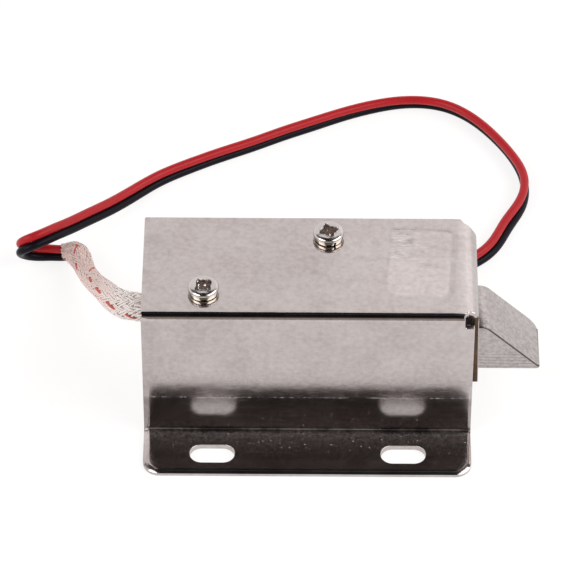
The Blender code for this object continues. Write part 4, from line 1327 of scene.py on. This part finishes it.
# ------------------------------------------------------- screws and washers
def build_fastener(k, x, y, turn):
    a = math.radians(turn)
    # split spring washer: a flat helix of one turn with a slant gap
    verts, faces = [], []
    sec = soften([(1.5, -.31), (2.44, -.31), (2.44, .31), (1.5, .31)], 0.10, 3)
    steps = 96
    gap = math.radians(9)
    place = math.radians(-67 if k == "rear" else 152)
    m = len(sec)
    for i in range(steps + 1):
        s = i / steps
        for r, h in sec:
            shift = (r - 1.96) * 0.16 + h * 0.35 / 2.0
            th = place + gap / 2 + (2 * math.pi - gap) * s + shift * 0.6
            z = TOP + 0.41 + h + 0.09 * (s - 0.5)
            verts.append((x + r * math.cos(th), y + r * math.sin(th), z))
    for i in range(steps):
        for j in range(m):
            q = (j + 1) % m
            faces.append((i * m + j, (i + 1) * m + j, (i + 1) * m + q, i * m + q))
    faces.append(tuple(range(m)))
    faces.append(tuple(steps * m + j for j in range(m))[::-1])
    me = mesh_from("split_washer_" + k, verts, faces)
    bm = bmesh.new()
    bm.from_mesh(me)
    bmesh.ops.recalc_face_normals(bm, faces=bm.faces[:])
    bm.to_mesh(me)
    bm.free()
    ob = piece("split_washer_" + k, me, WASHER, "lock_body", 50)
    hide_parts("spring_washer_" + k)
    # low pan head: the worn cross is pressed into the top as a height field
    sides = 120
    crown = [(0.0, 1.53), (1.0, 1.528), (1.85, 1.515), (2.12, 1.49), (2.27, 1.44), (2.38, 1.36),
             (2.47, 1.26), (2.53, 1.13), (2.55, 1.00)]
    radii = [0.0] + [0.07 + 0.066 * i for i in range(31)] + [2.12, 2.19, 2.27, 2.33, 2.38, 2.43, 2.47,
                                                           2.50, 2.53, 2.545, 2.55]
    lift = np.interp(radii, [c[0] for c in crown], [c[1] for c in crown])
    ox, oy = (0.03, -0.04)
    seed = 3.0 if k == "front" else 8.0
    verts, faces, dirt_and_shade = [], [], []
    for ri, (r, h) in enumerate(zip(radii, lift)):
        for j in range(1 if ri == 0 else sides):
            b = 2 * math.pi * j / sides
            px, py = r * math.cos(b), r * math.sin(b)
            qx, qy = px - ox, py - oy
            q = math.hypot(qx, qy)
            g = math.atan2(qy, qx)
            d = (g - a + math.pi / 4) % (math.pi / 2) - math.pi / 4
            edge = 1.13 + 0.56 * math.exp(-(d / 0.40) ** 2)
            edge += 0.16 * noise.noise(Vector((math.cos(g) * 2.4 + seed, math.sin(g) * 2.4, 0.0)))
            t = min(max((edge - q) / 0.19, 0.0), 1.0)
            dip = 0.50 * t * t * (3 - 2 * t)
            if t > 0.6:
                dip += 0.20 * noise.noise(Vector((px * 2.6 + seed, py * 2.6, 2.0))) * (t - 0.6) / 0.4
                dip -= 0.10 * min(1.0, max(0.0, q - 0.4))
            roll = 0.018 * math.exp(-((q - edge - 0.06) / 0.12) ** 2) if r < 2.2 else 0.0
            wear = 0.010 * noise.noise(Vector((px * 1.6 + seed, py * 1.6, 5.0)))
            verts.append((x + px, y + py, TOP + h - dip + roll + wear))
            clean = noise.noise(Vector((px * 2.2 + seed, py * 2.2, 9.0)))
            # 2 is painted shade on the recess walls, broken by noise; 1 is dirt deeper in the recess
            rim = noise.noise(Vector((px * 1.5 + seed, py * 1.5, 14.0))) < 0.22
            dirt_and_shade.append(2 if 0.02 < t < 0.66 and rim else 1 if dip > 0.10 and clean < 0.36 else 0)
    index = [0] + [1 + i * sides for i in range(len(radii) - 1)]
    for j in range(sides):
        q = (j + 1) % sides
        faces.append((0, 1 + j, 1 + q))
    for i in range(1, len(radii) - 1):
        for j in range(sides):
            q = (j + 1) % sides
            faces.append((index[i] + j, index[i + 1] + j, index[i + 1] + q, index[i] + q))
    # flank, underside and threaded shank
    low = [(2.55, .93), (2.545, .88), (2.51, .83), (2.44, .79), (1.25, .79), (1.22, .70)]
    z = 0.6
    while z > -3.8:
        low += [(1.22, z), (1.22, z - .08), (1.0, z - .2), (1.0, z - .26)]
        z -= 0.4
    low += [(1.0, -4.0), (.8, -4.2)]
    last = index[-1]
    for r, h in low:
        start = len(verts)
        for j in range(sides):
            b = 2 * math.pi * j / sides
            verts.append((x + r * math.cos(b), y + r * math.sin(b), TOP + h))
            dirt_and_shade.append(0)
        for j in range(sides):
            q = (j + 1) % sides
            faces.append((last + j, start + j, start + q, last + q))
        last = start
    faces.append(tuple(last + j for j in range(sides))[::-1])
    me = mesh_from("pan_screw_" + k, verts, faces)
    me.materials.append(SCREW)
    me.materials.append(DIRT)
    me.materials.append(RECESS_SHADE)
    kinds = [min(dirt_and_shade[i] for i in f) for f in faces]
    me.polygons.foreach_set("material_index", np.array(kinds, np.int32))
    ob = piece("pan_screw_" + k, me, None, "lock_body", 42)
    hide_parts("screw_" + k)


# ---------------------------------------------------------------- solenoid
AXIS_Y, AXIS_Z = 17.1, 13.75
YOKE_LEFT, YOKE_RIGHT, YOKE_T, YOKE_TOP, YOKE_HALF = -24.1, 9.0, 2.0, 26.2, 10.0
CORE_FACE, PLUNGER_LEFT, PLUNGER_R, NOSE_R = -11.6, -2.3, 3.5, 2.6
T_Y0, T_Y1, T_Z0, T_Z1, T_REAR, T_TIP, T_SLOPE = 12.15, 22.2, 9.0, 18.5, 22.6, 38.32, 47.70
SHOULDER = (24.6, 26.1, 10.9, 23.3)


def along(bm):
    return moved(bm, (0, AXIS_Y, AXIS_Z), ALONG_X)


def build_yoke():
    t, r = YOKE_T, 2.2
    outline = [(YOKE_LEFT, 0.0), (YOKE_LEFT + t, 0.0)]
    outline += arc(YOKE_LEFT + r, YOKE_TOP - r, r - t, 180, 90, 3)
    outline += arc(YOKE_RIGHT - r, YOKE_TOP - r, r - t, 90, 0, 3)
    outline += [(YOKE_RIGHT - t, 0.0), (YOKE_RIGHT, 0.0)]
    outline += arc(YOKE_RIGHT - r, YOKE_TOP - r, r, 0, 90, 12)
    outline += arc(YOKE_LEFT + r, YOKE_TOP - r, r, 90, 180, 12)
    steps = []
    steps.append(("DIFFERENCE", moved(turned([(0, -2), (2.8, -2), (2.8, 2), (0, 2)], 48),
                                      (YOKE_LEFT + 1, AXIS_Y, AXIS_Z), ALONG_X)))
    steps.append(("DIFFERENCE", moved(turned([(0, -2), (4.3, -2), (4.3, 2), (0, 2)], 56),
                                      (YOKE_RIGHT - 1, AXIS_Y, AXIS_Z), ALONG_X)))
    notch = [(23.9, 7.4), (30.5, 7.4), (30.5, 13.0), (23.9, 13.0)]
    notch += arc(23.9, 11.6, 1.4, 90, 180, 6) + arc(23.9, 8.8, 1.4, 180, 270, 6)
    steps.append(("DIFFERENCE", prism(notch, "X", YOKE_LEFT - 1, YOKE_LEFT + t + 1)))
    for x, y, _ in SCREWS.values():
        steps.append(("DIFFERENCE", moved(turned([(0, -2), (1.5, -2), (1.5, 2), (0, 2)], 40),
                                          (x, y, YOKE_TOP - 1))))
    me = combine(prism(outline, "Y", AXIS_Y - YOKE_HALF, AXIS_Y + YOKE_HALF), steps, "steel_yoke",
                 bevel=0.16)
    ob = piece("steel_yoke", me, STEEL, "lock_body", 30)
    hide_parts("yoke")


def build_core():
    x = YOKE_LEFT
    prof = [(0, CORE_FACE), (3.0, CORE_FACE), (3.4, CORE_FACE - .4), (3.4, x + YOKE_T + .3),
            (2.5, x + YOKE_T + .3), (2.5, x - .3), (3.3, x - .3), (3.25, x - .6), (2.9, x - .95),
            (2.2, x - 1.1), (1.2, x - 1.0), (0, x - .95)]
    ob = piece("fixed_core", to_mesh(along(turned(prof, 64)), "fixed_core"), CORE, "lock_body", 30)
    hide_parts("pole_core")


def build_bobbin():
    left, right = YOKE_LEFT + YOKE_T + .4, YOKE_RIGHT - YOKE_T - .4
    base = along(turned([(4.3, left), (5.0, left), (5.0, right), (4.3, right)], 64))
    h = 9.4
    sq = rounded(AXIS_Y - h, AXIS_Z - h, AXIS_Y + h, AXIS_Z + h, 3.0, 10)
    steps = [("UNION", prism(sq, "X", left, left + 1.0)), ("UNION", prism(sq, "X", right - 1, right))]
    steps.append(("DIFFERENCE", along(turned([(0, left - 1), (4.3, left - 1), (4.3, right + 1),
                                              (0, right + 1)], 64))))
    nb = bmesh.new()
    bmesh.ops.create_cube(nb, size=1.0)
    for v in nb.verts:
        v.co = Vector((left - 1 + (v.co.x + .5) * 2.6, 22.7 + (v.co.y + .5) * 7.3,
                       7.5 + (v.co.z + .5) * 5.4)) * MM
    steps.append(("DIFFERENCE", nb))
    me = combine(base, steps, "moulded_bobbin", bevel=0.12)
    ob = piece("moulded_bobbin", me, NYLON, "lock_body", 30)
    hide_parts("bobbin")


def build_coil():
    x0, x1 = YOKE_LEFT + YOKE_T + 1.7, YOKE_RIGHT - YOKE_T - 1.7
    # winding: neat layers seen only past the tape's edges
    prof = [(5.3, x0), (8.2, x0)]
    k = int((x1 - x0) / 0.32)
    for i in range(k):
        a = x0 + (x1 - x0) * i / k
        b = x0 + (x1 - x0) * (i + 1) / k
        prof += [(8.28, a + 0.02), (8.46, (a + b) / 2), (8.28, b - 0.02)]
    prof += [(8.2, x1), (5.3, x1)]
    ob = piece("copper_winding", to_mesh(along(turned(prof, 72)), "copper_winding"), COPPER,
               "lock_body", 60)
    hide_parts("coil_winding")
    # tape: a spiral of a turn and a bit, its end lying as a step on the back
    verts, faces = [], []
    n = 150
    start = math.radians(62)
    turns = 1.12
    cols = [x0, x0 + 0.05] + list(np.linspace(x0 + 0.6, x1 - 0.6, 24)) + [x1 - 0.05, x1]
    for side in (0, 1):
        for i in range(n + 1):
            s = i / n
            th = start + 2 * math.pi * turns * s
            for cx in cols:
                r = 8.80 + 0.20 * min(1, s * turns) + (0.0 if side == 0 else 0.16)
                r += 0.030 * noise.noise(Vector((cx * 0.35, math.cos(th) * 2.2, math.sin(th) * 2.2)))
                r += 0.012 * noise.noise(Vector((cx * 1.8, math.cos(th) * 9, math.sin(th) * 3)))
                verts.append((cx, AXIS_Y + r * math.cos(th), AXIS_Z + r * math.sin(th)))
    m = len(cols)
    half = (n + 1) * m
    for side in (0, 1):
        o = side * half
        for i in range(n):
            for j in range(m - 1):
                f = (o + i * m + j, o + i * m + j + 1, o + (i + 1) * m + j + 1, o + (i + 1) * m + j)
                faces.append(f)
    rim = [i * m for i in range(n + 1)]
    for r0 in (0, m - 1):
        for i in range(n):
            a, b = i * m + r0, (i + 1) * m + r0
            faces.append((a, b, b + half, a + half))
    for i in (0, n):
        for j in range(m - 1):
            a, b = i * m + j, i * m + j + 1
            faces.append((a, b, b + half, a + half))
    me = mesh_from("coil_wrap", verts, faces)
    bm = bmesh.new()
    bm.from_mesh(me)
    bmesh.ops.recalc_face_normals(bm, faces=bm.faces[:])
    bm.to_mesh(me)
    bm.free()
    ob = piece("coil_wrap", me, TAPE, "lock_body", 40)
    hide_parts("coil_tape")


def build_tube():
    prof = soften([(3.75, YOKE_LEFT + YOKE_T + .6), (4.0, YOKE_LEFT + YOKE_T + .6),
                   (4.0, YOKE_RIGHT), (3.75, YOKE_RIGHT)], 0.08, 2)
    ob = piece("brass_guide", to_mesh(along(turned(prof, 64)), "brass_guide"), BRASS, "lock_body", 40)
    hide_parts("guide_tube")


def build_plunger():
    n = T_REAR - 0.4
    prof = [(0, PLUNGER_LEFT), (3.0, PLUNGER_LEFT), (3.2, PLUNGER_LEFT + .06),
            (3.45, PLUNGER_LEFT + .35), (PLUNGER_R, PLUNGER_LEFT + .55), (PLUNGER_R, n - .2),
            (PLUNGER_R - .15, n), (NOSE_R, n), (NOSE_R, 25.9), (2.45, 26.1), (2.2, 26.3), (0, 26.3)]
    base = along(turned(prof, 64))
    me = combine(base, [("DIFFERENCE", moved(turned([(0, -6), (1.0, -6), (1.0, 6), (0, 6)], 28),
                                             (24.4, AXIS_Y, AXIS_Z)))], "iron_plunger")
    ob = piece("iron_plunger", me, CORE, "bolt", 30)
    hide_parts("plunger")
    prof = [(0, -4.6), (.5, -4.6), (.68, -4.54), (.75, -4.4), (.75, 4.4), (.68, 4.54), (.5, 4.6),
            (0, 4.6)]
    ob = piece("steel_pin", to_mesh(moved(turned(prof, 32), (24.4, AXIS_Y, AXIS_Z)), "steel_pin"),
               CORE, "bolt", 30)
    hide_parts("cross_pin")


def build_tongue():
    knee = T_SLOPE - T_Z1
    rk = 2.3
    tk = rk * math.tan(math.radians(22.5))
    side = [(T_REAR - 1, T_Z0)]
    rt = 0.30
    lt = rt / math.tan(math.radians(22.5))
    tip = T_SLOPE - T_Z0
    side += arc(tip - lt, T_Z0 + rt, rt, -90, 45, 8)
    side += arc(knee - tk, T_Z1 - rk, rk, 45, 90, 12)
    side += [(T_REAR - 1, T_Z1)]
    x0, x1, y0, y1 = SHOULDER
    plan = [(T_REAR, T_Y0 + .3), (T_REAR + .3, T_Y0), (x0, T_Y0), (x0, y0), (x1, y0), (x1, T_Y0)]
    plan += arc(T_TIP - .6, T_Y0 + .6, .6, -90, 0, 10)
    plan += arc(T_TIP - 1.7, T_Y1 - 1.7, 1.7, 0, 90, 16)
    plan += [(x1, T_Y1), (x1, y1), (x0, y1), (x0, T_Y1), (T_REAR + .3, T_Y1), (T_REAR, T_Y1 - .3)]
    steps = [("INTERSECT", prism(plan, "Z", 7.0, 20.0)),
             ("DIFFERENCE", along(turned([(0, 21.0), (2.9, 21.0), (2.9, 26.6), (0, 26.6)], 48))),
             ("DIFFERENCE", moved(turned([(0, -8), (1.05, -8), (1.05, 8), (0, 8)], 28),
                                  (24.4, AXIS_Y, AXIS_Z)))]
    me = combine(prism(side, "Y", 8.0, 26.0), steps, "sprung_tongue", bevel=0.19, segments=3,
                 clamp=False)
    # painted reflection: the arris between the sloping face and the side is made dark
    me.materials.clear()
    me.materials.append(SATIN)
    me.materials.append(ARRIS_SHADE)
    for f in me.polygons:
        a = f.normal
        dark_arris_face = -0.985 < a.y < -0.15 and a.z > 0.12 and a.x > -0.05 and f.area < 1.2e-5
        f.material_index = 1 if dark_arris_face else 0
    ob = piece("sprung_tongue", me, None, "bolt", 30)
    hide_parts("latch_bolt")


def build_spring():
    w, r, turns = 0.5, 4.15, 6.0
    x0, x1 = 9.3 + w / 2, 22.3 - w / 2
    per = 44
    n = int(turns * per)
    pts = []
    for i in range(n + 1):
        turn = i / per
        k = min(max((turn - .9) / (turns - 1.8), 0), 1)
        dead = min(turn, .9) / .9 + max(turn - (turns - .9), 0) / .9
        x = x0 + w * 1.15 * dead + (x1 - x0 - 2.3 * w) * k
        a = 2 * math.pi * turn
        pts.append((x, AXIS_Y + r * math.cos(a), AXIS_Z + r * math.sin(a)))
    pts = np.array(pts)
    t = np.gradient(pts, axis=0)
    t /= np.linalg.norm(t, axis=1)[:, None]
    hub = pts.copy()
    hub[:, 1], hub[:, 2] = AXIS_Y, AXIS_Z
    out = pts - hub
    out -= (out * t).sum(1)[:, None] * t
    out /= np.linalg.norm(out, axis=1)[:, None]
    b = np.cross(t, out)
    verts, faces = [], []
    tube_mesh(verts, faces, pts, out, b, w / 2, w / 2, 12)
    ob = piece("coil_spring", mesh_from("coil_spring", verts, faces), WIRE, "lock_body", 60)
    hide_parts("return_spring")
    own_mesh(ob)


# ---------------------------------------------------------------- surroundings
def build_world():
    w = bpy.data.worlds.new("studio")
    scene.world = w
    w.use_nodes = True
    nt = w.node_tree
    bg = nt.nodes["Background"]
    out = nt.nodes["World Output"]
    tc = node(nt, "ShaderNodeTexCoord")
    sep = node(nt, "ShaderNodeSeparateXYZ")
    nt.links.new(tc.outputs["Generated"], sep.inputs[0])
    x, y, z = sep.outputs
    # paper sweep: bright low down, fading to the dark room above
    back = ramp(nt, z, [(0.0, (1.02, 1.01, 1.0)), (0.22, (1.10, 1.09, 1.08)),
                        (0.38, (1.16, 1.145, 1.135)),
                        (0.64, (1.10, 1.085, 1.08)), (0.72, (1.05, 1.035, 1.03)),
                        (0.76, (0.98, 0.965, 0.96)), (0.80, (0.02, 0.02, 0.024))])
    # camera side: dim low down, dark higher up
    front = ramp(nt, z, [(0.0, (0.46, 0.41, 0.38)), (0.48, (0.43, 0.38, 0.35)),
                         (0.58, (0.22, 0.185, 0.17)), (0.66, (0.100, 0.082, 0.077)),
                         (0.70, (0.080, 0.064, 0.060)), (0.75, (0.068, 0.056, 0.053)),
                         (0.78, (0.012, 0.012, 0.016))])
    # how far a direction is on the camera side: -y over the level length
    level = maths(nt, "SQRT", maths(nt, "ADD", maths(nt, "MULTIPLY", x, x),
                                    maths(nt, "ADD", maths(nt, "MULTIPLY", y, y), 1e-6)))
    facing = maths(nt, "DIVIDE", maths(nt, "MULTIPLY", y, -1.0), level)
    side = grey(nt, maths(nt, "MULTIPLY_ADD", facing, 0.5, 0.5), [(0.80, 0.0), (0.92, 1.0)])
    # a brighter stretch of the sweep to the right, behind the tongue
    across = maths(nt, "DIVIDE", x, level)
    lit = grey(nt, maths(nt, "MULTIPLY_ADD", across, 0.5, 0.5),
               [(0.56, 0.0), (0.66, 1.0), (0.80, 1.0), (0.88, 0.0)])
    band = grey(nt, z, [(0.36, 0.0), (0.50, 1.0), (0.66, 1.0), (0.71, 0.1)])
    lit = maths(nt, "MULTIPLY", lit, band)
    back = mix(nt, lit, back, (1.42, 1.40, 1.39))
    # dim stretches between the sweep and the softboxes, on both sides
    gap = grey(nt, maths(nt, "MULTIPLY_ADD", facing, 0.5, 0.5),
               [(0.10, 0.0), (0.16, 1.0), (0.42, 1.0), (0.52, 0.0)])
    tall = grey(nt, z, [(0.56, 0.0), (0.62, 1.0), (0.78, 1.0)])
    back = mix(nt, maths(nt, "MULTIPLY", maths(nt, "MULTIPLY", gap, tall), 0.8), back, (0.20, 0.19, 0.185))
    color = mix(nt, side, back, front)
    nt.links.new(color, bg.inputs["Color"])
    bg.inputs["Strength"].default_value = 1.0
    # what the lens sees past the floor is plain white
    lp = node(nt, "ShaderNodeLightPath")
    white = node(nt, "ShaderNodeBackground")
    white.inputs["Color"].default_value = (1, 1, 1, 1)
    white.inputs["Strength"].default_value = 1.05
    ms = node(nt, "ShaderNodeMixShader")
    nt.links.new(lp.outputs["Is Camera Ray"], ms.inputs[0])
    nt.links.new(bg.outputs[0], ms.inputs[1])
    nt.links.new(white.outputs[0], ms.inputs[2])
    nt.links.new(ms.outputs[0], out.inputs["Surface"])


def build_floor():
    bm = bmesh.new()
    bmesh.ops.create_circle(bm, cap_ends=True, segments=96, radius=1.6)
    me = to_mesh(bm, "paper_floor")
    m = bpy.data.materials.new("white_paper")
    m.use_nodes = True
    nt = m.node_tree
    b = nt.nodes["Principled BSDF"]
    b.inputs["Base Color"].default_value = (0.22, 0.22, 0.22, 1)
    b.inputs["Roughness"].default_value = 0.9
    b.inputs["Specular IOR Level"].default_value = 0.0
    b.inputs["Emission Color"].default_value = (1, 0.995, 0.99, 1)
    b.inputs["Emission Strength"].default_value = 0.82
    me.materials.append(m)
    ob = bpy.data.objects.new("paper_floor", me)
    scene.collection.objects.link(ob)


def area_light(name, azimuth, elevation, dist, width, height, radiance, tint=(1, 1, 1)):
    """A softbox; azimuth is measured from the camera side towards +X."""
    a, e = math.radians(azimuth), math.radians(elevation)
    d = Vector((math.sin(a) * math.cos(e), -math.cos(a) * math.cos(e), math.sin(e)))
    data = bpy.data.lights.new(name, "AREA")
    data.shape = "RECTANGLE"
    data.size = width
    data.size_y = height
    data.energy = math.pi * width * height * radiance
    data.color = tint
    ob = bpy.data.objects.new(name, data)
    scene.collection.objects.link(ob)
    ob.location = Vector((0, 0.02, 0.01)) + d * dist
    ob.rotation_euler = d.to_track_quat("Z", "Y").to_euler()
    return ob


build_world()
build_floor()
area_light("softbox_left", -54, 44, 0.75, 0.50, 0.42, 3.2)
area_light("softbox_right", 72, 44, 0.75, 0.80, 0.42, 3.2)

lead_lengths = build_leads()
sleeve_length = build_sleeve()
build_case()
for key, (sx, sy, st) in SCREWS.items():
    build_fastener(key, sx, sy, st)
build_yoke()
build_core()
build_bobbin()
build_coil()
build_tube()
build_plunger()
build_tongue()
build_spring()

print("leads", lead_lengths, "sleeve", sleeve_length)
